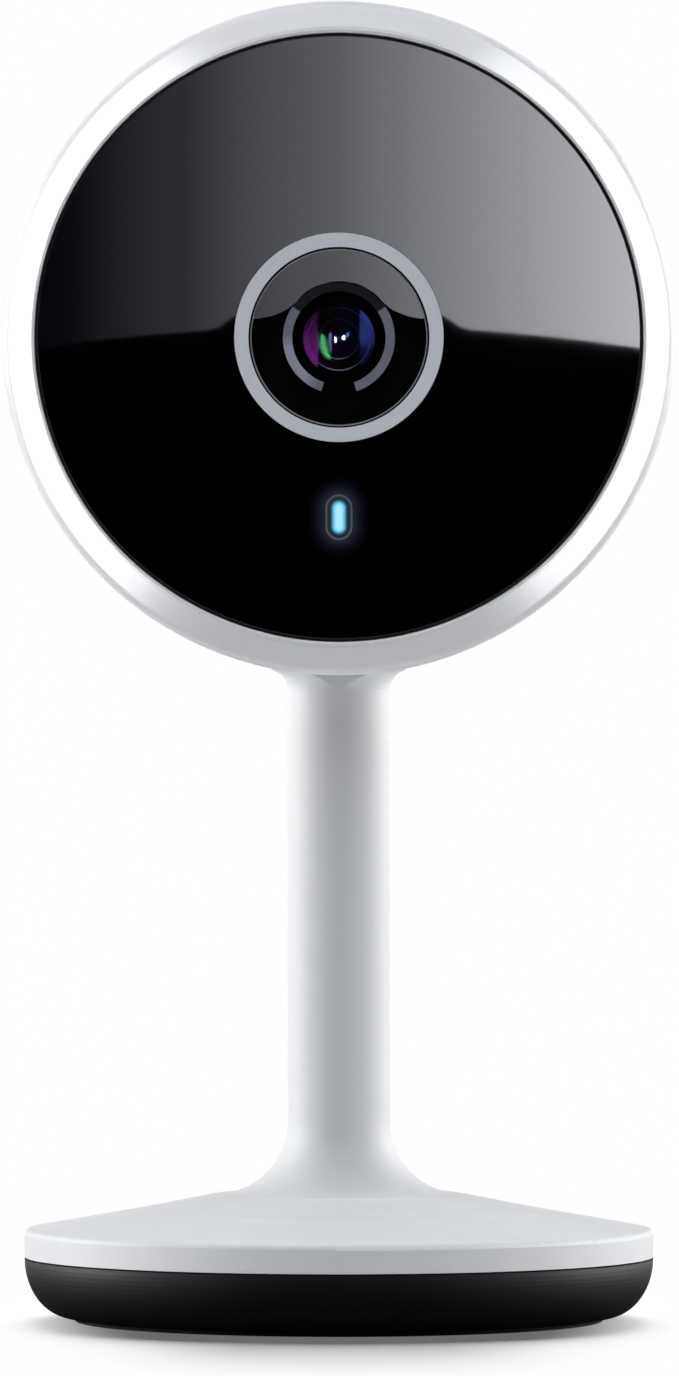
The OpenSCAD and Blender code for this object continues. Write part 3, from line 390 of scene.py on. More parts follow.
@dataclass(frozen=True)
class FlakeLacquer(Finish):
    """Matt silver lacquer over black moulded plastic. Aluminium flakes give a fine grain under a dull skin."""

    flake_mm: float = 0.16
    flake_depth: float = 0.06
    gloss_spread: float = 0.06
    metallic: float = 0.08
    bare: str = "#030304"
    mask_y: float = 0.0

    def surface(self, tree: Tree, place: Socket) -> Node:
        """Builds the shader: cells of grey for the flakes, coarser than the real 0.03 mm, on the face alone.

        Args:
            tree: The material's node tree.
            place: Coordinates in metres in the row frame.

        Returns:
            The shader.
        """
        red, green, blue, _ = linear(self.colour)
        low = 1.0 - self.flake_depth
        flakes = add_node(tree, "TexVoronoi", {"Vector": place, "Scale": 1 / (self.flake_mm * MM)})
        grey = add_node(tree, "RGBToBW", {0: flakes.outputs["Color"]})
        tone = add_node(
            tree, "Mix", {0: grey, 6: (red * low, green * low, blue * low, 1.0), 7: (red, green, blue, 1.0)},
            data_type="RGBA",
        )
        least, most = self.roughness - self.gloss_spread, self.roughness + self.gloss_spread
        gloss = add_node(tree, "MapRange", {"Value": grey, "To Min": least, "To Max": most})
        inputs = {"Base Color": tone.outputs[2], "Metallic": self.metallic, "Roughness": gloss, "IOR": 1.5}
        sprayed = add_node(tree, "BsdfPrincipled", inputs)
        inputs = {"Base Color": linear(self.bare), "Roughness": 0.6, "Specular IOR Level": 0.1}
        bare = add_node(tree, "BsdfPrincipled", inputs)
        parts = add_node(tree, "SeparateXYZ", {0: place})
        masked = add_node(tree, "Math", {0: parts.outputs["Y"], 1: self.mask_y}, operation="GREATER_THAN")
        return add_node(tree, "MixShader", {0: masked, 1: sprayed, 2: bare})


@dataclass(frozen=True)
class LitAcrylic(Finish):
    """Cast and polished acrylic that carries light out from the pill-shaped status light behind it.

    Each of the stops is a distance from the light's upright middle line in millimetres, and the glow there.
    """

    stops: tuple[tuple[float, str], ...] = ((0.0, "#000000"), (1.0, "#000000"))
    lamp: tuple[float, float, float] = (0.0, 0.0, 0.0)
    lamp_half_mm: float = 0.85
    wave_mm: float = 7.0
    wave_um: float = 0.2
    wipe_mm: float = 2.5
    wiped: float = 2.0

    def surface(self, tree: Tree, place: Socket) -> Node:
        """Builds the shader: polishing waves, wiping marks, and a glow that fades away from the light.

        Args:
            tree: The material's node tree.
            place: Coordinates in metres in the row frame.

        Returns:
            The shader.
        """
        waves = add_node(tree, "TexNoise", {"Vector": place, "Scale": 1 / (self.wave_mm * MM), "Detail": 1.0})
        bump = add_node(tree, "Bump", {"Height": waves, "Strength": 1.0, "Distance": self.wave_um * UM})
        wipe = add_node(tree, "TexNoise", {"Vector": place, "Scale": 1 / (self.wipe_mm * MM), "Detail": 5.0})
        dull = self.roughness * self.wiped
        gloss = add_node(tree, "MapRange", {"Value": wipe, "To Min": self.roughness, "To Max": dull})
        away = add_node(tree, "VectorMath", {0: place, 1: self.lamp}, operation="SUBTRACT")
        parts = add_node(tree, "SeparateXYZ", {0: away})
        tall = add_node(tree, "Math", {0: parts.outputs["Z"]}, operation="ABSOLUTE")
        over = add_node(
            tree, "Math", {0: tall, 1: self.lamp_half_mm * MM}, operation="SUBTRACT", use_clamp=True,
        )
        flat = add_node(tree, "CombineXYZ", {"X": parts.outputs["X"], "Z": over})
        reach = add_node(tree, "VectorMath", {0: flat}, operation="LENGTH").outputs["Value"]
        furthest = self.stops[-1][0]
        share = add_node(tree, "Math", {0: reach, 1: furthest * MM}, operation="DIVIDE", use_clamp=True)
        glow = add_node(tree, "ValToRGB", {0: share})
        set_stops(glow.color_ramp, tuple((distance / furthest, code) for distance, code in self.stops))
        inputs = {"Base Color": linear(self.colour), "Roughness": gloss, "IOR": 1.49, "Normal": bump}
        return add_node(tree, "BsdfPrincipled", inputs | {"Emission Color": glow, "Emission Strength": 1.0})


@dataclass(frozen=True)
class CoatedGlass(Finish):
    """Ground and polished glass with a hard coat, which cuts the mirror image and tints what is left of it."""

    ior: float = 1.52
    mirror: float = 0.75
    left: str = "#ffffff"
    middle: str = "#ffffff"
    right: str = "#ffffff"
    tint: str = "#ffffff"
    half_width_mm: float = 8.0
    drift_mm: float = 1.2
    drift: float = 0.1

    def surface(self, tree: Tree, place: Socket) -> Node:
        """Builds the shader: a clear sheet whose front mirrors by Fresnel, in a tint that drifts across it.

        Args:
            tree: The material's node tree.
            place: Coordinates in metres in the row frame.

        Returns:
            The shader.
        """
        drift = add_node(tree, "TexNoise", {"Vector": place, "Scale": 1 / (self.drift_mm * MM), "Detail": 1.0})
        x, half = add_node(tree, "SeparateXYZ", {0: place}).outputs["X"], self.half_width_mm * MM
        across = add_node(tree, "MapRange", {"Value": x, "From Min": -half, "From Max": half})
        uneven = add_node(tree, "Math", {0: drift, 1: self.drift, 2: across}, operation="MULTIPLY_ADD")
        coat = add_node(tree, "ValToRGB", {0: uneven})
        set_stops(coat.color_ramp, ((0.0, self.left), (0.5, self.middle), (1.0, self.right)))
        gloss = add_node(
            tree, "BsdfGlossy", {"Color": coat, "Roughness": self.roughness} | self.polish(tree, place),
        )
        clear = add_node(tree, "BsdfTransparent", {"Color": linear(self.tint)})
        back = add_node(tree, "NewGeometry").outputs["Backfacing"]
        front = add_node(tree, "Math", {0: self.mirror, 1: back}, operation="SUBTRACT")
        only = add_node(tree, "Math", {0: front, 1: 0.0}, operation="MAXIMUM")
        fresnel = add_node(tree, "Fresnel", {"IOR": self.ior})
        share = add_node(tree, "Math", {0: fresnel, 1: only}, operation="MULTIPLY", use_clamp=True)
        return add_node(tree, "MixShader", {0: share, 1: clear, 2: gloss})

    def polish(self, tree: Tree, place: Socket) -> dict[str, Node]:
        """Returns the mirror's inputs for the form of the polished face. A plain one follows the mesh."""
        return {}


@dataclass(frozen=True)
class RimmedGlass(CoatedGlass):
    """Coated glass on a dome, with a painted reflection near its rim: magenta near its left rim and blue near
    its right one.

    Each of the fades is a measure of the place on the glass, the two values in millimetres that the painted
    reflection grows between, and its share at the first of them. The painted reflection's share is the product
    of all the shares.
    """

    painted_reflection_left: str = "#e455ff"
    painted_reflection_right: str = "#6a7cff"
    centre: tuple[float, float, float] = (0.0, 0.0, 0.0)
    ball: tuple[float, float, float] = (0.0, 0.0, 0.0)
    ball_mm: float = 2.3
    fades: tuple[tuple[str, float, float, float], ...] = (
        ("aside", 1.84, 2.04, 0.04), ("radius", 3.38, 3.26, 0.0), ("climb", -2.1, 1.9, 0.15),
        ("radius", 2.6, 3.0, 0.38),
    )

    def polish(self, tree: Tree, place: Socket) -> dict[str, Node]:
        """Makes the mirror's normal, which points away from the centre of the dome's ball.

        Further out than ball_mm it leans over no more, which keeps the dome's rim dark.

        Args:
            tree: The material's node tree.
            place: Coordinates in metres in the row frame.

        Returns:
            The normal by its input's name.
        """
        away = add_node(tree, "VectorMath", {0: place, 1: self.ball}, operation="SUBTRACT")
        flat = add_node(tree, "VectorMath", {0: away, 1: (1.0, 0.0, 1.0)}, operation="MULTIPLY")
        reach = add_node(tree, "VectorMath", {0: flat}, operation="LENGTH").outputs["Value"]
        ease = add_node(tree, "Math", {0: self.ball_mm * MM, 1: reach}, operation="DIVIDE", use_clamp=True)
        eased = add_node(tree, "CombineXYZ", {"X": ease, "Y": 1.0, "Z": ease})
        away = add_node(tree, "VectorMath", {0: away, 1: eased}, operation="MULTIPLY")
        away = add_node(
            tree, "VectorTransform", {"Vector": away}, vector_type="VECTOR", convert_from="OBJECT",
            convert_to="WORLD",
        )
        return {"Normal": add_node(tree, "VectorMath", {0: away}, operation="NORMALIZE")}

    def surface(self, tree: Tree, place: Socket) -> Node:
        """Builds the shader: the coated glass, with the painted reflection's colour mixed in near its rim.

        Args:
            tree: The material's node tree.
            place: Coordinates in metres in the row frame.

        Returns:
            The shader.
        """
        glass = super().surface(tree, place)
        away = add_node(tree, "VectorMath", {0: place, 1: self.centre}, operation="SUBTRACT")
        local = add_node(tree, "VectorMath", {0: away, 1: (1 / MM, 0.0, 1 / MM)}, operation="MULTIPLY")
        parts = add_node(tree, "SeparateXYZ", {0: local})
        sign = add_node(tree, "Math", {0: parts.outputs["X"]}, operation="SIGN")
        places = {
            "aside": add_node(tree, "Math", {0: parts.outputs["X"]}, operation="ABSOLUTE"),
            "radius": add_node(tree, "VectorMath", {0: local}, operation="LENGTH").outputs["Value"],
            "climb": add_node(tree, "Math", {0: parts.outputs["Z"], 1: sign}, operation="MULTIPLY"),
        }
        share = 1.0
        for measure, low, high, least in self.fades:
            limits = {"From Min": low, "From Max": high, "To Min": least}
            step = add_node(
                tree, "MapRange", {"Value": places[measure]} | limits, interpolation_type="SMOOTHSTEP",
            )
            share = add_node(tree, "Math", {0: share, 1: step}, operation="MULTIPLY")
        # Painted reflection: a lit diffuse magenta on the left and blue on the right, mixed over the glass near
        # its rim.
        side = add_node(tree, "Math", {0: parts.outputs["X"], 1: 0.0}, operation="GREATER_THAN")
        ends = {6: linear(self.painted_reflection_left), 7: linear(self.painted_reflection_right)}
        colour = add_node(tree, "Mix", {0: side} | ends, data_type="RGBA")
        scatter = add_node(tree, "BsdfDiffuse", {"Color": colour.outputs[2]})
        return add_node(tree, "MixShader", {0: share, 1: glass, 2: scatter})


@dataclass(frozen=True)
class SpringClip(Finish):
    """Spring steel under a thin grey lacquer.

    Its grey is painted paler towards one side as a painted sheen, and its upper part is painted near black
    as painted shade.
    """

    black: str = "#24252e"
    centre: tuple[float, float, float] = (0.0, 0.0, 0.0)
    painted_shade_half_deg: float = 56.0
    painted_sheen_deg: float = 240.0
    painted_sheen_from: float = 0.8
    painted_sheen_least: float = 0.1
    painted_sheen_gain: float = 2.2
    grain_mm: float = 0.3
    grain_share: float = 0.2

    def surface(self, tree: Tree, place: Socket) -> Node:
        """Builds the shader: rolled grain with a painted sheen, and painted shade told by its angle round the
        lens.

        Args:
            tree: The material's node tree.
            place: Coordinates in metres in the row frame.

        Returns:
            The shader.
        """
        away = add_node(tree, "VectorMath", {0: place, 1: self.centre}, operation="SUBTRACT")
        parts = add_node(tree, "SeparateXYZ", {0: away})
        angle = add_node(tree, "Math", {0: parts.outputs["X"], 1: parts.outputs["Z"]}, operation="ARCTAN2")
        turn = add_node(tree, "Math", {0: angle}, operation="ABSOLUTE")
        # Painted shade: the upper part of the ring, within the given angle of the top, is painted near black.
        painted_shade_arc = add_node(tree, "Math", {0: turn, 1: math.radians(self.painted_shade_half_deg)}, operation="LESS_THAN")
        grain = add_node(tree, "TexNoise", {"Vector": place, "Scale": 1 / (self.grain_mm * MM), "Detail": 3.0})
        unit = add_node(tree, "VectorMath", {0: away}, operation="NORMALIZE")
        # Painted sheen: polish, uneven and pale paint the grey paler where the ring faces the given turn.
        painted_sheen_turn = math.radians(self.painted_sheen_deg)
        toward = {0: unit, 1: (math.sin(painted_sheen_turn), 0.0, math.cos(painted_sheen_turn))}
        facing = add_node(tree, "VectorMath", toward, operation="DOT_PRODUCT").outputs["Value"]
        limits = {"From Min": self.painted_sheen_from, "From Max": 1.0, "To Min": self.painted_sheen_least}
        polish = add_node(tree, "MapRange", {"Value": facing} | limits, interpolation_type="SMOOTHSTEP")
        uneven = add_node(tree, "Math", {0: grain, 1: self.grain_share, 2: polish}, operation="MULTIPLY_ADD")
        red, green, blue, _ = linear(self.colour)
        pale = (red * self.painted_sheen_gain, green * self.painted_sheen_gain, blue * self.painted_sheen_gain, 1.0)
        grey = add_node(tree, "Mix", {0: uneven, 6: (red, green, blue, 1.0), 7: pale}, data_type="RGBA")
        tone = add_node(tree, "Mix", {0: painted_shade_arc, 6: grey.outputs[2], 7: linear(self.black)}, data_type="RGBA")
        inputs = {
            "Base Color": tone.outputs[2], "Roughness": self.roughness, "IOR": 1.5, "Specular IOR Level": 0.15,
        }
        return add_node(tree, "BsdfPrincipled", inputs)


@dataclass(frozen=True)
class CircuitBoard(Finish):
    """Glass-epoxy board under solder mask. Tracks and plated holes show through the mask as lighter marks."""

    copper: str = "#c9a45c"
    track: str = "#1a5a3c"
    gap: str = "#2c7d54"
    track_mm: float = 0.9
    track_um: float = 20.0
    hole_pitch_mm: float = 1.8
    hole_share: float = 0.14

    def surface(self, tree: Tree, place: Socket) -> Node:
        """Builds the shader: brick-like runs of track under the mask and a field of small plated holes.

        Args:
            tree: The material's node tree.
            place: Coordinates in metres in the row frame.

        Returns:
            The shader.
        """
        upright = add_node(tree, "Mapping", {"Vector": place, "Rotation": (math.pi / 2, 0.0, 0.0)})
        colours = {"Color1": linear(self.colour), "Color2": linear(self.track), "Mortar": linear(self.gap)}
        # A row of bricks, which is one track, is a quarter of the texture's unit high.
        sizes = {"Scale": 1 / (self.track_mm * 4 * MM), "Mortar Size": 0.03}
        tracks = add_node(tree, "TexBrick", {"Vector": upright} | colours | sizes)
        holes = add_node(tree, "TexVoronoi", {"Vector": place, "Scale": 1 / (self.hole_pitch_mm * MM)})
        ring = add_node(tree, "Math", {0: holes.outputs["Distance"], 1: self.hole_share}, operation="LESS_THAN")
        tone = add_node(
            tree, "Mix", {0: ring, 6: tracks.outputs["Color"], 7: linear(self.copper)}, data_type="RGBA",
        )
        bump = add_node(tree, "Bump", {"Height": tracks, "Strength": 1.0, "Distance": self.track_um * UM})
        inputs = {"Base Color": tone.outputs[2], "Metallic": ring, "Roughness": self.roughness, "Normal": bump}
        return add_node(tree, "BsdfPrincipled", inputs)


@dataclass(frozen=True)
class WovenCloth(Finish):
    """Acoustic cloth of fine black polyester, woven plain, so that it reads as a grid of small bumps."""

    gap: str = "#050506"
    pitch_mm: float = 0.24
    thread_um: float = 60.0

    def surface(self, tree: Tree, place: Socket) -> Node:
        """Builds the shader: two crossed waves for warp and weft, each thread half a wave wide.

        Args:
            tree: The material's node tree.
            place: Coordinates in metres in the row frame.

        Returns:
            The shader.
        """
        # The wave runs 20 radians per unit of its scale, and a thread takes up half of one.
        scale = math.pi / (20 * self.pitch_mm * MM)
        warp = add_node(tree, "TexWave", {"Vector": place, "Scale": scale}, bands_direction="X")
        weft = add_node(tree, "TexWave", {"Vector": place, "Scale": scale}, bands_direction="Z")
        weave = add_node(tree, "Math", {0: warp.outputs[1], 1: weft.outputs[1]}, operation="MULTIPLY")
        tone = add_node(tree, "Mix", {0: weave, 6: linear(self.gap), 7: linear(self.colour)}, data_type="RGBA")
        bump = add_node(tree, "Bump", {"Height": weave, "Strength": 1.0, "Distance": self.thread_um * UM})
        inputs = {
            "Base Color": tone.outputs[2], "Roughness": self.roughness, "Sheen Weight": 0.2, "Normal": bump,
        }
        return add_node(tree, "BsdfPrincipled", inputs)


# Satin white ABS of the head, from a finely eroded mould: lamps show in it as wide soft bands.
HEAD_ABS = MouldedPlastic("white_abs_satin_moulded", "#eeeeef", 0.30, relief_um=0.6, cloud_depth=0.015)
# The stand's ABS comes from a coarser mould, so it is duller, with faint upright flow marks.
STAND_ABS = MouldedPlastic(
    "white_abs_dull_moulded", "#ecedee", 0.55, relief_um=1.0, cloud_mm=3.0, cloud_depth=0.03,
    stretch=(1.0, 1.0, 0.25),
)
# Black ABS of the foot: a dull texture that turns dark grey where a lamp rakes it.
FOOT_ABS = MouldedPlastic(
    "black_abs_texture_moulded", "#0d0d14", 0.5, relief_um=3.0, grit_mm=0.3, cloud_depth=0.1, shine=0.5,
)
# The frame round the lens is painted with a black that swallows light, so nothing shows behind the cover glass.
INNER_ABS = MouldedPlastic("black_abs_flat_painted", "#050506", 0.8, relief_um=1.0, cloud_depth=0.1, shine=0.05)
GREY_ABS = MouldedPlastic("grey_abs_moulded", "#3b3d41", 0.45, cloud_depth=0.06)
BUTTON_ABS = MouldedPlastic("pale_grey_abs_moulded", "#d3d5d8", 0.35, relief_um=0.8)
OPTIC_BLACK = MouldedPlastic(
    "matt_black_polycarbonate_moulded", "#050506", 0.7, ior=1.58, cloud_depth=0.2, shine=0.05,
)
BARREL_BLACK = MouldedPlastic(
    "black_anodised_barrel_flocked", "#020203", 0.9, ior=1.6, cloud_depth=0.1, shine=0.01,
)
CARD_PLASTIC = MouldedPlastic("black_card_shell_moulded", "#1a1b1d", 0.35, relief_um=0.8)
CHIP_EPOXY = MouldedPlastic("chip_epoxy_transfer_moulded", "#17181a", 0.45, grit_mm=0.15)
ACETAL = MouldedPlastic("acetal_moulded", "#e6e3d8", 0.35, ior=1.48)
FLEX = MouldedPlastic("flat_ribbon_extruded", "#e4e2d8", 0.4, ior=1.5)
CONE_FILM = MouldedPlastic("speaker_film_pressed", "#2b2c30", 0.5)
WIRE_SLEEVE = MouldedPlastic("wire_sleeve_extruded", "#a8262a", 0.4)
RUBBER = MouldedPlastic("silicone_rubber_moulded", "#121214", 0.8, ior=1.41, relief_um=4.0, cloud_depth=0.12)
FOAM = MouldedPlastic("acrylic_foam_tape_cut", "#262629", 0.95, ior=1.4, grit_mm=0.35, relief_um=60.0)
# The ground edge of the cover glass is frosted, so it shows as a thin light line inside the trim ring.
GROUND_GLASS = MouldedPlastic("cover_glass_edge_ground", "#a4a5a9", 0.5, ior=1.52, grit_mm=0.1, cloud_depth=0.2)
LAMP_EPOXY = MouldedPlastic("clear_lamp_epoxy_cast", "#cfc8a4", 0.15, ior=1.54, relief_um=0.3)
# Glow of the status light: a pale blue core in the light pipe, a dim sleeve with a grey rim round it, and a
# neutral halo in the black window.
PIPE_GLOW = (
    (0.0, "#b6e9ff"), (0.24, "#b0e6ff"), (0.38, "#7ed6f4"), (0.5, "#58c2e4"), (0.6, "#47829c"),
    (0.75, "#1c3743"),
)
SLEEVE_GLOW = (
    (0.7, "#1c3743"), (0.85, "#13222b"), (1.0, "#171d24"), (1.1, "#41464e"), (1.2, "#464a53"),
    (1.3, "#343942"),
)
HALO_GLOW = (
    (1.1, "#2b3039"), (1.35, "#1e242c"), (1.6, "#181b24"), (1.95, "#11101a"), (2.3, "#08070d"),
    (2.75, "#010103"), (3.0, "#000000"),
)
SENSOR_GLASS = MouldedPlastic("sensor_glass_polished", "#2a3f37", 0.08, ior=1.52, relief_um=0.05)
ZINC_STEEL = Metal("steel_zinc_plated", "#b4b7bb", 0.35)
BRACKET_STEEL = Metal("steel_stamped_and_plated", "#9fa3a8", 0.4, scratch_mm=(1.2, 0.2, 0.2))
BALLAST_STEEL = Metal("steel_sheet_zinc_plated", "#8f9397", 0.45, scratch_mm=(2.0, 0.25, 0.25))
TIN_PLATE = Metal("tin_plated_steel_drawn", "#c3c6ca", 0.3)
RING_METAL = Metal("lens_spacer_brass_nickel_plated", "#c9c2d6", 0.3, scratch_mm=(0.1, 0.1, 0.1), relief_um=0.3)
MAGNET = Metal("magnet_nickel_plated", "#85888e", 0.25)
BRASS = Metal("brass_turned", "#c9a24c", 0.3)
COPPER = Metal("copper_enamelled_wound", "#b5703a", 0.35, scratch_mm=(0.3, 3.0, 3.0), relief_um=20.0)
ANTENNA_COPPER = Metal("copper_on_film_etched", "#a8682e", 0.4)
SPEAKER_STEEL = Metal("steel_grey_enamelled", "#5a5d62", 0.5)
SINK_ALUMINIUM = Metal("aluminium_extruded", "#c3c6ca", 0.4, scratch_mm=(0.2, 2.0, 0.2))
GOLD = Metal("contact_gold_plated", "#e2b95a", 0.25)
BOARD = CircuitBoard("circuit_board_solder_masked", "#17683f", 0.4)
CLOTH = WovenCloth("acoustic_cloth_woven", "#1d1e20", 0.9)


# ---- sub-assemblies ----


@dataclass
class Assembly:
    """One sub-assembly: it dresses its CAD nodes and rides its own pieces on one body."""

    frame: dict[str, Any]
    body: str = "head"
    finishes: dict[str, Finish] = field(default_factory=dict)

    def dress(self) -> None:
        """Gives each CAD node of the sub-assembly its material."""
        for node, finish in self.finishes.items():
            mesh = self.frame["nodes"][node].data
            mesh.materials.clear()
            mesh.materials.append(finish.material())
            LOG.info("dressed %s in %s", node, finish.name)

    def add(self, piece: bpy.types.Object, finish: Finish, slot: str) -> None:
        """Dresses a piece made here and rides it on the sub-assembly's body.

        Args:
            piece: The new object, in place.
            finish: Its finish.
            slot: The record's material slot that it would take its finish from. It is not used.
        """
        piece.data.materials.append(finish.material())
        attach(piece, self.body)
        LOG.info("added %s in %s on %s", piece.name, finish.name, self.body)

    def build(self) -> None:
        """Builds the sub-assembly."""
        self.dress()


@dataclass
class HeadShell(Assembly):
    """The white bezel and rear shell with the screws that join them."""

    finishes: dict[str, Finish] = field(default_factory=lambda: {
        "front_bezel": HEAD_ABS, "rear_shell": HEAD_ABS, "housing_screws": ZINC_STEEL,
        "inner_screws": ZINC_STEEL,
    })


@dataclass
class FrontWindow(Assembly):
    """The black window with its tape and frame, and the status light set in it."""

    finishes: dict[str, Finish] = field(default_factory=lambda: {
        "window_tape": FOAM, "inner_frame": INNER_ABS, "status_leds": LAMP_EPOXY,
    })

    def build(self) -> None:
        """Dresses the window and its light from the place of the light pipe."""
        lamp = tuple(middle("status_light_pipe"))
        for node, name, colour, roughness, glow, wiped in (
            ("front_window", "black_acrylic_cast_and_polished", "#010103", 0.006, HALO_GLOW, 2.0),
            ("status_window", "smoke_acrylic_moulded", "#0b0d10", 0.2, SLEEVE_GLOW, 1.2),
            ("status_light_pipe", "light_pipe_acrylic_diffusing", "#10202a", 0.4, PIPE_GLOW, 1.2),
        ):
            self.finishes[node] = LitAcrylic(name, colour, roughness, glow, lamp, wiped=wiped)
        self.dress()


@dataclass
class LensStack(Assembly):
    """The trim ring, the cover, the lens with its clip and barrel, and all that sits behind it."""

    finishes: dict[str, Finish] = field(default_factory=lambda: {
        "lens_cover": CoatedGlass("cover_glass_coated_and_polished", "#202226", 0.0),
        "lens_barrel": BARREL_BLACK,
        "middle_lens": CoatedGlass(
            "middle_lens_glass_coated", "#1d3a5c", 0.02, 1.65, 0.35, "#7040ff", "#5060ff", "#3050ff",
            half_width_mm=2.5,
        ),
        "rear_lens": CoatedGlass(
            "rear_lens_glass_coated", "#20304c", 0.02, 1.7, 0.35, "#40ff60", "#60a0ff", "#206080",
            half_width_mm=1.6,
        ),
        "aperture_ring": OPTIC_BLACK, "focus_lock_ring": BARREL_BLACK, "lens_holder": OPTIC_BLACK,
        "filter_case": GREY_ABS, "filter_coil": COPPER, "image_sensor": SENSOR_GLASS,
    })
    lacquer_depth: float = 0.05 * MM
    trap_steps: int = 4
    trap_gap: float = 0.08 * MM
    trap_inset: float = 0.06 * MM
    trap_depth: float = 0.5 * MM
    trap_rise: float = 0.75 * MM
    trap_tread: float = 0.85
    trap_fall: float = 0.01 * MM
    spacer_radii: tuple[float, ...] = (1.84 * MM, 2.88 * MM)
    spacer_wire: float = 0.03 * MM
    bevel_radius: float = 8.08 * MM
    bevel_wire: float = 0.06 * MM
    ring_steps: int = 160
    ring_sides: int = 8

    def build(self) -> None:
        """Dresses the lens, adds the light trap in the mouth of its barrel and adds its fine rings."""
        cover_y, seat_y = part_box("lens_cover")[0].y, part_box("aperture_ring")[0].y
        centre = Vector((0.0, middle("lens_clip").y, middle("lens_cover").z))
        ball = (0.0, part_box("front_lens")[0].y + DOME_RADIUS, centre.z)
        self.finishes["lens_clip"] = SpringClip("spring_steel_lacquered", "#7d7f8c", 0.5, centre=tuple(centre))
        self.finishes["front_lens"] = RimmedGlass(
            "front_lens_glass_coated", "#30264f", 0.02, 1.65, 0.8, "#d8a8ff", "#dfe8ff", "#a0a8ff",
            centre=tuple(centre), ball=ball,
        )
        # Silver lacquer is sprayed on the ring's face alone, so the ledge behind the cover glass stays black.
        self.finishes["lens_trim_ring"] = FlakeLacquer(
            "silver_lacquer_sprayed", "#f3f6fc", 0.55, mask_y=cover_y - self.lacquer_depth,
        )
        self.dress()
        self.light_trap(centre)
        # The two metal rings that space the glasses show as thin circles behind the front glass.
        self.fine_rings(
            "lens_spacer_rings", self.spacer_radii, seat_y, self.spacer_wire, centre, RING_METAL, "brass",
        )
        self.fine_rings(
            "lens_cover_bevel", (self.bevel_radius,), cover_y, self.bevel_wire, centre, GROUND_GLASS,
            "coated_glass",
        )

    def light_trap(self, centre: Vector) -> None:
        """Adds the fine steps that keep stray light out of the lens.

        Args:
            centre: A point on the lens axis.
        """
        front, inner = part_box("lens_barrel")[0].y + self.trap_inset, half_width("front_lens") + self.trap_gap
        tread = self.trap_rise / self.trap_steps * self.trap_tread
        outline = []
        for step in range(self.trap_steps + 1):
            share = step / self.trap_steps
            radius, y = inner + self.trap_rise * share, front + self.trap_depth * (1 - share)
            outline += [(radius, y), (radius + tread, y - self.trap_fall)]
        self.add(turned("lens_light_trap", [outline[:-1]], centre, smooth=False), OPTIC_BLACK, "optic_black")

    def fine_rings(
        self, name: str, radii: tuple[float, ...], y: float, wire: float, centre: Vector, finish: Finish,
        slot: str,
    ) -> None:
        """Adds fine rings of round wire round the lens axis.

        Args:
            name: The piece's name.
            radii: Radius of each ring, in metres.
            y: Where the rings' middle lies along the axis.
            wire: Half the wire's thickness, in metres.
            centre: A point on the lens axis.
            finish: The rings' finish.
            slot: The record's material slot, which is handed on with them.
        """
        rolls = [2 * math.pi * side / self.ring_sides for side in range(self.ring_sides)]
        outlines = [
            [(radius + wire * math.cos(roll), y + wire * math.sin(roll)) for roll in rolls] for radius in radii
        ]
        self.add(turned(name, outlines, centre, self.ring_steps, closed=True), finish, slot)


@dataclass
class NightFilter(Assembly):
    """The shuttle that carries the night filter, or the rotor that drives it."""


@dataclass
class Electronics(Assembly):
    """The boards with their parts, the leads, the microphone and the infrared lamps."""

    finishes: dict[str, Finish] = field(default_factory=lambda: {
        "main_board": BOARD, "ir_board": BOARD, "main_chip": CHIP_EPOXY, "board_parts": CHIP_EPOXY,
        "heat_sink": SINK_ALUMINIUM, "wifi_module": TIN_PLATE, "antenna_strip": ANTENNA_COPPER,
        "internal_leads": WIRE_SLEEVE, "ribbon_cable": FLEX, "card_socket": TIN_PLATE,
        "reset_switch": TIN_PLATE, "microphone": TIN_PLATE, "microphone_boot": RUBBER,
        "ir_lamp_set": LAMP_EPOXY, "light_sensor": LAMP_EPOXY,
    })


@dataclass
class PowerSocket(Assembly):
    """The power socket with the plated contacts on its tongue."""

    finishes: dict[str, Finish] = field(default_factory=lambda: {"usb_socket": TIN_PLATE})
    contact_pitch: float = 0.5 * MM
    contact_width: float = 0.26 * MM
    contact_length: float = 2.6 * MM
    contact_rise: float = 0.05 * MM
    contact_inset: float = 0.2 * MM
    contact_bevel: float = 0.015 * MM
    tongue_half: float = 0.35 * MM
    tongue_recess: float = 1.0 * MM
    contacts: int = 7

    def build(self) -> None:
        """Dresses the socket and lays the contacts on both faces of its tongue."""
        self.dress()
        size = Vector((self.contact_width, self.contact_length, self.contact_rise))
        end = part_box("usb_socket")[1].y - self.tongue_recess - self.contact_inset
        mesh = bmesh.new()
        for face in (-1, 1):
            z = middle("usb_socket").z + face * self.tongue_half
            for index in range(self.contacts):
                x = (index - (self.contacts - 1) / 2) * self.contact_pitch
                spot = Vector((x, end - self.contact_length / 2, z))
                place = Matrix.Translation(spot) @ Matrix.Diagonal(size.to_4d())
                bmesh.ops.create_cube(mesh, size=1.0, matrix=place)
        bmesh.ops.bevel(
            mesh, geom=mesh.edges[:], offset=self.contact_bevel, segments=2, profile=0.5, affect="EDGES",
        )
        data = bpy.data.meshes.new("usb_contacts")
        mesh.to_mesh(data)
        mesh.free()
        self.add(linked("usb_contacts", data), GOLD, "brass")


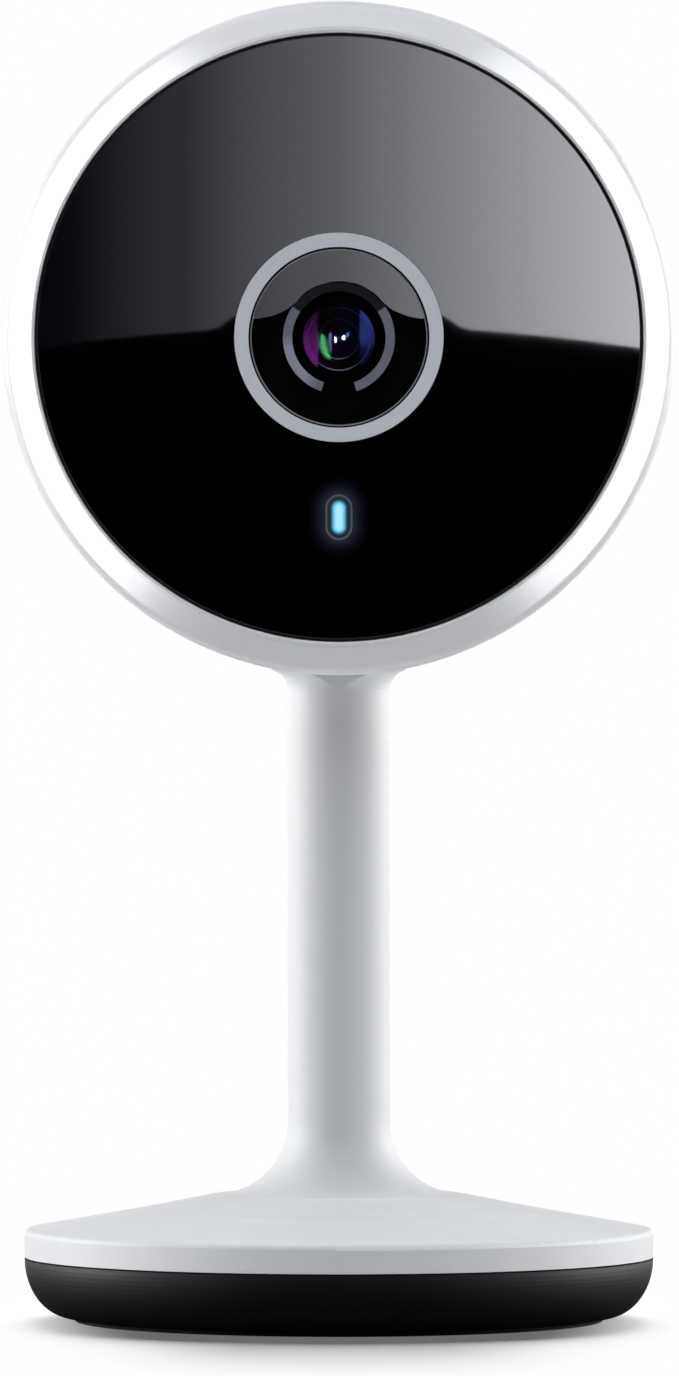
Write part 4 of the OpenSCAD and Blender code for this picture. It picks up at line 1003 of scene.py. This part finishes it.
@dataclass
class Speaker(Assembly):
    """The speaker behind the rear grille, with the cloth that keeps dust out of it."""

    finishes: dict[str, Finish] = field(default_factory=lambda: {
        "speaker_frame": SPEAKER_STEEL, "speaker_cone": CONE_FILM, "speaker_gasket": FOAM,
    })
    ring_width: float = 1.3 * MM
    cloth_belly: float = 0.12 * MM
    cloth_rings: int = 12
    cloth_steps: int = 96
    cloth_hole: float = 0.01 * MM

    def build(self) -> None:
        """Dresses the speaker and stretches the cloth across its foam ring."""
        self.dress()
        centre, reach = middle("speaker_gasket"), half_width("speaker_gasket") - self.ring_width
        outline = []
        for ring in range(self.cloth_rings + 1):
            share = ring / self.cloth_rings
            outline.append((max(reach * share, self.cloth_hole), centre.y - self.cloth_belly * (1 - share**2)))
        self.add(turned("speaker_cloth", [outline], centre, self.cloth_steps), CLOTH, "foam_tape")


@dataclass
class CardAndButton(Assembly):
    """The memory card or the reset button, each of which rides on a body of its own."""


@dataclass
class TiltHinge(Assembly):
    """The hinge bracket in the head with its screw, nut and friction washers."""

    finishes: dict[str, Finish] = field(default_factory=lambda: {
        "hinge_bracket": BRACKET_STEEL, "hinge_screw": ZINC_STEEL, "hinge_nut": ZINC_STEEL,
        "friction_washers": ACETAL,
    })


@dataclass
class Stand(Assembly):
    """The white column with its steel core and the parts that turn on the foot.

    The skirt's upper face is given by radius and height, in millimetres.
    """

    body: str = "stand"
    finishes: dict[str, Finish] = field(default_factory=lambda: {
        "stand_column": STAND_ABS, "stem_core_tube": ZINC_STEEL, "swivel_insert": BRASS,
        "swivel_retainer": BRACKET_STEEL, "swivel_screw": ZINC_STEEL,
    })
    skirt_mm: tuple[tuple[float, float], ...] = (
        (10.6, 11.785), (10.9, 11.75), (11.2, 11.73), (11.6, 11.712), (12.2, 11.603), (13.0, 11.449),
        (14.0, 11.249), (15.0, 11.045), (16.0, 10.841), (17.0, 10.644), (18.0, 10.459),
    )
    skirt_depth: float = 0.3 * MM
    skirt_steps: int = 180
    skirt_crease: float = math.radians(30.0)

    def build(self) -> None:
        """Dresses the column and lays a thin skirt where its sweep runs out on the stand's top."""
        self.dress()
        top = [(radius * MM, height * MM) for radius, height in self.skirt_mm]
        under = [(radius, height - self.skirt_depth) for radius, height in reversed(top)]
        centre = Vector((0.0, 0.0, 0.0))
        skirt = turned("sweep_skirt", [top + under], centre, self.skirt_steps, closed=True, upright=True)
        skirt.data.set_sharp_from_angle(angle=self.skirt_crease)
        self.add(skirt, STAND_ABS, "white_abs")


@dataclass
class Foot(Assembly):
    """The weighted black foot with its rubber ring."""

    body: str = "base"
    finishes: dict[str, Finish] = field(default_factory=lambda: {
        "base_cup": FOOT_ABS, "foot_ring": RUBBER, "ballast_plate": BALLAST_STEEL, "ballast_screws": ZINC_STEEL,
        "swivel_washer": ACETAL,
    })


# ---- studio ----


class Side(Enum):
    """A side of the camera body, as the lens's viewer sees it. Its value is the sign of X there."""

    LEFT = -1.0
    RIGHT = 1.0


@dataclass(frozen=True)
class Lamp:
    """A softbox. Its azimuth and elevation are in degrees, round the point that it faces."""

    name: str
    azimuth: float
    elevation: float
    distance: float
    width: float
    height: float
    watts: float
    colour: str = "#ffffff"

    def build(self, target: Vector) -> bpy.types.Object:
        """Places the softbox.

        Args:
            target: The point that it faces.

        Returns:
            The lamp.
        """
        data = bpy.data.lights.new(self.name, "AREA")
        data.shape = "RECTANGLE"
        data.size, data.size_y = self.width, self.height
        data.energy = self.watts
        data.color = linear(self.colour)[:3]
        lamp = linked(self.name, data)
        turn, rise = math.radians(self.azimuth), math.radians(self.elevation)
        away = Vector((math.sin(turn) * math.cos(rise), -math.cos(turn) * math.cos(rise), math.sin(rise)))
        lamp.location = target + away * self.distance
        lamp.rotation_euler = away.to_track_quat("Z", "Y").to_euler()
        lamp.visible_camera = False
        LOG.info("lamp %s, %.1f W", self.name, self.watts)
        return lamp


@dataclass(frozen=True)
class Glint:
    """A soft light that only the lens mirrors. Its spine is drawn on the front glass, round the lens axis.

    Each point of the spine is X, Z and half the width of the glint there, in millimetres. The flat share of
    that width shines fully, and the rest fades out.
    """

    name: str
    colour: str
    radiance: float
    spine: tuple[tuple[float, float, float], ...]
    flat: float = 0.0

    def outline(self) -> list[tuple[Vector, float]]:
        """Draws the glint.

        Returns:
            Rows of five points across the spine, each with its share of the light.
        """
        rows = []
        stops = [Vector((x, z)) for x, z, _ in self.spine]
        for index, (x, z, half) in enumerate(self.spine):
            along = stops[min(index + 1, len(stops) - 1)] - stops[max(index - 1, 0)]
            across = Vector((-along.y, along.x)).normalized() * half
            ends = 0.0 if index in (0, len(stops) - 1) else 1.0
            for part, share in ((-1.0, 0.0), (-self.flat, 1.0), (0.0, 1.0), (self.flat, 1.0), (1.0, 0.0)):
                rows.append((Vector((x, z)) + across * part, share * ends))
        return rows


@dataclass
class Studio:
    """The camera, the white floor and background, the softboxes, and the cards that glossy faces mirror.

    The window card's lower edge hugs the lens barrel's flange up to a share of its radius, passes through the
    edge knots, and is nearly level elsewhere. Each knot is a distance from the lens axis and a height over
    it, in millimetres. The card's stops run from left to right.
    """

    eye_distance: float = 0.930
    eye_height: float = 0.05874
    eye_side: float = 0.000055
    lens_mm: float = 261.76
    sensor_mm: float = 36.0
    clip: tuple[float, float] = (0.05, 50.0)
    ambient: float = 0.005
    ambient_colour: str = "#f4f8ff"
    disc_steps: int = 96
    floor_reach: float = 1.6
    floor_colour: float = 0.85
    floor_to_eye: float = 0.8
    painted_fill_share: float = 0.1
    painted_fill_press: float = 2.6
    floor_near: float = 0.05
    floor_far: float = 0.09
    floor_flag_reach: float = 0.15
    floor_flag_drop: float = 0.1 * MM
    strip_radiance: float = 24.0
    strip_radius: float = 0.085
    strip_front: float = -0.085
    strip_back: float = -0.03
    strip_from: float = 28.0
    strip_to: float = 142.0
    strip_steps: int = 24
    card_away: float = 8.0
    card_gain: float = 25.8
    card_margin: float = 1.02
    card_columns: int = 160
    card_fade: float = 28.0 * MM
    card_stops: tuple[tuple[float, str], ...] = (
        (0.0, "#040407"), (0.07, "#0e0c11"), (0.25, "#2e2d32"), (0.5, "#5b5c60"), (0.75, "#8a8b8f"),
        (1.0, "#b3b4b7"),
    )
    edge_hug: float = 0.74
    edge_knots: tuple[tuple[float, float], ...] = (
        (3.7, 3.45), (4.3, 2.94), (4.95, 2.5), (5.6, 2.17), (6.3, 1.93), (7.1, 1.77), (7.9, 1.7),
        (8.8, 2.05), (9.5, 2.0), (10.2, 1.52), (11.0, 0.98), (11.6, 0.76), (12.2, 0.65),
    )
    edge_level: float = 1.05
    edge_fall: float = 0.0027
    black_flag_gap: float = 0.3
    black_flag_half: float = 8.0
    glint_gap: float = 0.1
    lamps: tuple[Lamp, ...] = (
        Lamp("softbox_left", -100.0, 5.0, 1.2, 0.4, 1.0, 15.2),
        Lamp("softbox_right", 100.0, 5.0, 1.2, 0.4, 1.0, 8.7),
        Lamp("softbox_rim_left", -125.0, 12.0, 1.2, 0.5, 0.6, 1.0),
        Lamp("softbox_rim_right", 125.0, 12.0, 1.2, 0.5, 0.6, 5.2),
        Lamp("softbox_top", 0.0, 85.0, 1.2, 0.8, 0.8, 5.6, "#f6f9ff"),
        Lamp("softbox_high", 0.0, 55.0, 1.3, 0.8, 0.6, 4.2, "#f6f9ff"),
    )
    back_lamp: Lamp = Lamp("softbox_back", 180.0, 34.0, 1.2, 0.6, 1.3, 41.0)
    glints: tuple[Glint, ...] = (
        Glint("glint_white_left", "#ffffff", 60.0, (
            (-0.305, 0.2, 0.03), (-0.305, 0.1, 0.13), (-0.305, -0.13, 0.175), (-0.305, -0.36, 0.13),
            (-0.305, -0.46, 0.03)), 0.15),
        Glint("glint_white_right", "#f2f6ff", 60.0, (
            (0.42, -0.2, 0.04), (0.42, -0.12, 0.18), (0.42, 0.04, 0.27), (0.42, 0.2, 0.2),
            (0.42, 0.28, 0.04)), 0.15),
        Glint("glint_blue_tail", "#7f9cec", 16.0, (
            (0.58, 0.08, 0.1), (0.7, 0.22, 0.22), (0.84, 0.38, 0.22), (0.98, 0.54, 0.1))),
        Glint("glint_blue_streak", "#9ab6f4", 9.0, (
            (-0.74, 0.6, 0.06), (-0.79, 0.4, 0.18), (-0.82, 0.0, 0.22), (-0.83, -0.5, 0.22), (-0.8, -1.0, 0.18),
            (-0.74, -1.4, 0.06))),
        Glint("glint_green", "#70ff88", 12.0, (
            (-1.5, 0.5, 0.1), (-1.52, 0.2, 0.3), (-1.5, -0.2, 0.4), (-1.42, -0.66, 0.46), (-1.26, -1.16, 0.46),
            (-1.04, -1.6, 0.36), (-0.74, -2.04, 0.1)), 0.1),
        Glint("glint_grey_strip", "#a9c8b4", 5.0, (
            (-1.86, 0.8, 0.04), (-1.93, 0.4, 0.07), (-1.95, -0.2, 0.08), (-1.9, -0.9, 0.07),
            (-1.8, -1.4, 0.04))),
        Glint("glint_deep_blue", "#4f86e0", 2.4, (
            (1.95, 1.75, 0.1), (2.15, 1.2, 0.36), (2.25, 0.5, 0.44), (2.2, -0.2, 0.36),
            (2.05, -0.8, 0.1)), 0.5),
    )

    def build(self) -> None:
        """Builds the whole studio."""
        low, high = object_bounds()
        self.camera()
        self.world()
        self.floor()
        self.light((low + high) / 2)
        self.strips()
        self.window_card()
        self.lens_glints()

    def camera(self) -> None:
        """Sets the camera level with the middle of the object, far off so that its lines stay straight."""
        data = bpy.data.cameras.new("studio_camera")
        data.lens, data.sensor_width, data.sensor_fit = self.lens_mm, self.sensor_mm, "AUTO"
        data.clip_start, data.clip_end = self.clip
        camera = linked("studio_camera", data)
        camera.location = (self.eye_side, -self.eye_distance, self.eye_height)
        camera.rotation_euler = (math.pi / 2, 0.0, 0.0)
        bpy.context.scene.camera = camera
        bpy.context.scene.view_settings.view_transform = "Standard"

    def world(self) -> None:
        """Makes a world that is white to the eye and to mirrors and glass, and dimmer as a light."""
        world = bpy.data.worlds.new("studio_world")
        world.use_nodes = True
        tree = world.node_tree
        tree.nodes.clear()
        path = add_node(tree, "LightPath")
        seen = path.outputs["Is Camera Ray"]
        for ray in ("Is Glossy Ray", "Is Transmission Ray"):
            seen = add_node(tree, "Math", {0: seen, 1: path.outputs[ray]}, operation="MAXIMUM")
        dim = add_node(tree, "Background", {"Color": linear(self.ambient_colour), "Strength": self.ambient})
        white = add_node(tree, "Background", {"Color": WHITE, "Strength": 1.0})
        mix = add_node(tree, "MixShader", {0: seen, 1: dim, 2: white})
        add_node(tree, "OutputWorld", {"Surface": mix})
        bpy.context.scene.world = world

    def disc(self, reach: float, height: float = 0.0) -> tuple[list[Vector], list[tuple[int, ...]]]:
        """Draws a level disc.

        Args:
            reach: Its radius, in metres.
            height: Its height over the floor, in metres.

        Returns:
            Its corners and its one face.
        """
        turns = [2 * math.pi * step / self.disc_steps for step in range(self.disc_steps)]
        points = [Vector((reach * math.sin(turn), reach * math.cos(turn), height)) for turn in turns]
        return points, [tuple(reversed(range(self.disc_steps)))]

    def sheet(
        self, name: str, points: list[Vector], faces: list[tuple[int, ...]], rays: tuple[str, ...] = ("glossy",)
    ) -> Tree:
        """Hangs or lays a sheet that only some kinds of ray see.

        Args:
            name: The sheet's name.
            points: Its corners.
            faces: Corner numbers of its faces.
            rays: The kinds of ray that see it. Unless it is said otherwise, only glossy faces mirror it.

        Returns:
            The empty node tree of its material.
        """
        sheet = make_object(name, points, faces, smooth=False)
        for ray in ("camera", "diffuse", "glossy", "transmission", "volume_scatter", "shadow"):
            setattr(sheet, "visible_" + ray, ray in rays)
        material, tree = blank_material(name + "_cloth")
        material.cycles.emission_sampling = "NONE"
        sheet.data.materials.append(material)
        sheet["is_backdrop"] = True
        return tree

    def shine(self, tree: Tree, colour: Node | Colour, strength: Node | float) -> None:
        """Gives a sheet a glow of its own. With a strength of 0 it is black.

        Args:
            tree: The node tree of its material.
            colour: The glow's linear colour, or the node that gives it.
            strength: The glow's strength, or the node that gives it.
        """
        glow = add_node(tree, "Emission", {"Color": colour, "Strength": strength})
        add_node(tree, "OutputMaterial", {"Surface": glow})

    def group(self, name: str, nodes: tuple[str, ...]) -> bpy.types.Collection:
        """Collects objects, so that a lamp or a sheet can be linked to them.

        Args:
            name: The collection's name.
            nodes: The objects' names.

        Returns:
            The new collection.
        """
        made = bpy.data.collections.new(name)
        for node in nodes:
            made.objects.link(bpy.data.objects[node])
        return made

    def floor(self) -> None:
        """Lays a matt pale sheet that throws light up, the same sheet as the eye sees it, and a black disc.

        The eye sees the sheet run out into white, with the shadow that the back softbox throws forward past
        the foot. Near the foot some white glow is still mixed in, and more of it to the sides, as painted fill
        light over that shadow. Only glossy faces see the black disc, which is painted shade: it keeps the
        foot's mirror image of the floor dark.
        """
        tree = self.sheet("studio_floor", *self.disc(self.floor_reach), ("diffuse", "transmission", "shadow"))
        grey, white = self.floor_colour, self.floor_to_eye
        bounce = add_node(tree, "BsdfDiffuse", {"Color": (grey, grey, grey, 1.0)})
        add_node(tree, "OutputMaterial", {"Surface": bounce})
        tree = self.sheet("studio_floor_shown", *self.disc(self.floor_reach), ("camera",))
        shown = add_node(tree, "BsdfDiffuse", {"Color": (white, white, white, 1.0)})
        glow = add_node(tree, "Emission", {"Color": WHITE, "Strength": 1.0})
        place = add_node(tree, "TexCoord").outputs["Object"]
        # Painted fill light: some white glow is mixed in even beside the foot, and sideways it takes over
        # faster.
        pressed = add_node(
            tree, "VectorMath", {0: place, 1: (self.painted_fill_press, 1.0, 1.0)}, operation="MULTIPLY",
        )
        reach = add_node(tree, "VectorMath", {0: pressed}, operation="LENGTH").outputs["Value"]
        limits = {"From Min": self.floor_near, "From Max": self.floor_far, "To Min": self.painted_fill_share}
        away = add_node(tree, "MapRange", {"Value": reach} | limits, interpolation_type="SMOOTHSTEP")
        seen = add_node(tree, "MixShader", {0: away, 1: shown, 2: glow})
        add_node(tree, "OutputMaterial", {"Surface": seen})
        # Painted shade: the black disc stands in for the floor's shade under the foot in what glossy faces
        # mirror.
        flag = self.disc(self.floor_flag_reach, -self.floor_flag_drop)
        self.shine(self.sheet("floor_flag", *flag), BLACK, 0.0)

    def light(self, target: Vector) -> None:
        """Places the softboxes.

        The back one lights the shown floor alone. The others leave out that floor and the front lens.

        Args:
            target: The point that all but the back softbox face.
        """
        rest = self.group("all_but_shown_floor", ("studio_floor_shown", "front_lens"))
        for item in rest.collection_objects:
            item.light_linking.link_state = "EXCLUDE"
        for lamp in self.lamps:
            lamp.build(target).light_linking.receiver_collection = rest
        links = self.back_lamp.build(Vector((0.0, 0.0, 0.0))).light_linking
        links.receiver_collection = self.group("shown_floor", ("studio_floor_shown",))
        links.blocker_collection = self.group("floor_shadow", ("base_cup", "foot_ring", "stand_column"))

    def strips(self) -> None:
        """Bends a light strip round each side of the head, which whitens the sloping face of its bezel."""
        lens_z = middle("lens_cover").z
        receivers = self.group("strip_lit", ("front_bezel", "rear_shell"))
        for side in Side:
            points = []
            for step in range(self.strip_steps + 1):
                turn = math.radians(
                    self.strip_from + (self.strip_to - self.strip_from) * step / self.strip_steps,
                )
                x, z = side.value * self.strip_radius * math.sin(
                    turn,
                ), lens_z + self.strip_radius * math.cos(turn)
                points += [Vector((x, self.strip_front, z)), Vector((x, self.strip_back, z))]
            faces = [(2 * i, 2 * i + 1, 2 * i + 3, 2 * i + 2) for i in range(self.strip_steps)]
            name = "strip_" + side.name.lower()
            self.shine(self.sheet(name, points, faces), WHITE, self.strip_radiance)
            bpy.data.objects[name].light_linking.receiver_collection = receivers

    def card_edge(self, x: float, flange: float) -> float:
        """Gives the height of the window card's lower edge over the lens axis, as mirrored in the window.

        Args:
            x: Distance from the lens axis sideways, in metres.
            flange: Radius of the lens barrel's flange, in metres.

        Returns:
            The height in metres. It hugs the flange, swells beside the trim ring and then sinks slowly.
        """
        far = abs(x) / MM
        if far <= flange / MM * self.edge_hug:
            return math.sqrt((flange / MM) ** 2 - far * far) * MM
        height = self.edge_level - self.edge_fall * far * far
        for (near, low), (away, high) in zip(self.edge_knots, self.edge_knots[1:]):
            if near <= far < away:
                height = low + (high - low) * (far - near) / (away - near)
        return height * MM

    def window_card(self) -> None:
        """Hangs the graded card that the black window mirrors, and the black flag behind it."""
        low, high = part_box("front_window")
        lens_z, flange = middle("lens_cover").z, half_width("lens_clip")
        reach, card_y = high.x * self.card_margin, low.y - self.card_away
        spread = 1 + self.card_away / (self.eye_distance + low.y)
        points = []
        for i in range(self.card_columns + 1):
            x = reach * (2 * i / self.card_columns - 1)
            for z in (lens_z + self.card_edge(x, flange), lens_z + reach):
                points.append(Vector((x * spread, card_y, self.eye_height + (z - self.eye_height) * spread)))
        faces = [(2 * i, 2 * i + 2, 2 * i + 3, 2 * i + 1) for i in range(self.card_columns)]
        tree = self.sheet("window_card", points, faces)
        parts = add_node(tree, "SeparateXYZ", {0: add_node(tree, "TexCoord").outputs["Object"]})
        fade = self.card_fade * spread
        across = add_node(tree, "MapRange", {"Value": parts.outputs["X"], "From Min": -fade, "From Max": fade})
        ramp = add_node(tree, "ValToRGB", {0: across})
        set_stops(ramp.color_ramp, self.card_stops)
        self.shine(tree, ramp, self.card_gain)
        flag_y, half = card_y - self.black_flag_gap, self.black_flag_half
        corners = [Vector((x, flag_y, z)) for x, z in (
            (-half, -half), (half, -half), (half, half), (-half, half),
        )]
        self.shine(self.sheet("black_flag", corners, [(0, 1, 2, 3)]), BLACK, 0.0)

    def lens_glints(self) -> None:
        """Hangs the glints where the front lens's dome mirrors them to the camera, and links them to it."""
        front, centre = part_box("front_lens")[0].y, middle("front_lens")
        receivers = self.group("lens_glass", ("front_lens",))
        eye, face = Vector((0.0, -self.eye_distance, self.eye_height)), Vector((0.0, front, centre.z))
        to_eye = (eye - face).normalized()
        for glint in self.glints:
            rows, points = glint.outline(), []
            for spot, _ in rows:
                side, rise = spot.x * MM / DOME_RADIUS, spot.y * MM / DOME_RADIUS
                normal = Vector((side, -math.sqrt(1 - side * side - rise * rise), rise))
                out = 2 * normal.dot(to_eye) * normal - to_eye
                start = Vector((spot.x * MM, front, centre.z + spot.y * MM))
                points.append(start + out * (self.card_away - self.glint_gap) / -out.y)
            firsts = [5 * row + part for row in range(len(glint.spine) - 1) for part in range(4)]
            tree = self.sheet(glint.name, points, [
                (first, first + 1, first + 6, first + 5) for first in firsts
            ])
            card = bpy.data.objects[glint.name]
            share = card.data.attributes.new("share", "FLOAT", "POINT")
            share.data.foreach_set("value", [part for _, part in rows])
            fade = add_node(tree, "Attribute", attribute_name="share")
            strength = add_node(tree, "Math", {0: fade.outputs["Fac"], 1: glint.radiance}, operation="MULTIPLY")
            self.shine(tree, linear(glint.colour), strength)
            card.light_linking.receiver_collection = receivers


def main() -> None:
    """Loads the frame, builds each sub-assembly in order, and lights it."""
    logging.basicConfig(level=logging.INFO, format="%(name)s: %(message)s")
    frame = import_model()
    for assembly in (
        Foot(frame), Stand(frame), TiltHinge(frame), HeadShell(frame), FrontWindow(frame), LensStack(frame),
        NightFilter(frame, "filter_shuttle", {"filter_shuttle": GREY_ABS}),
        NightFilter(frame, "filter_rotor", {"filter_rotor": MAGNET}), Electronics(frame), PowerSocket(frame),
        Speaker(frame), CardAndButton(frame, "memory_card", {"memory_card": CARD_PLASTIC}),
        CardAndButton(frame, "reset_button", {"reset_button": BUTTON_ABS}),
    ):
        assembly.build()
    Studio().build()


if __name__ == "__main__":
    main()
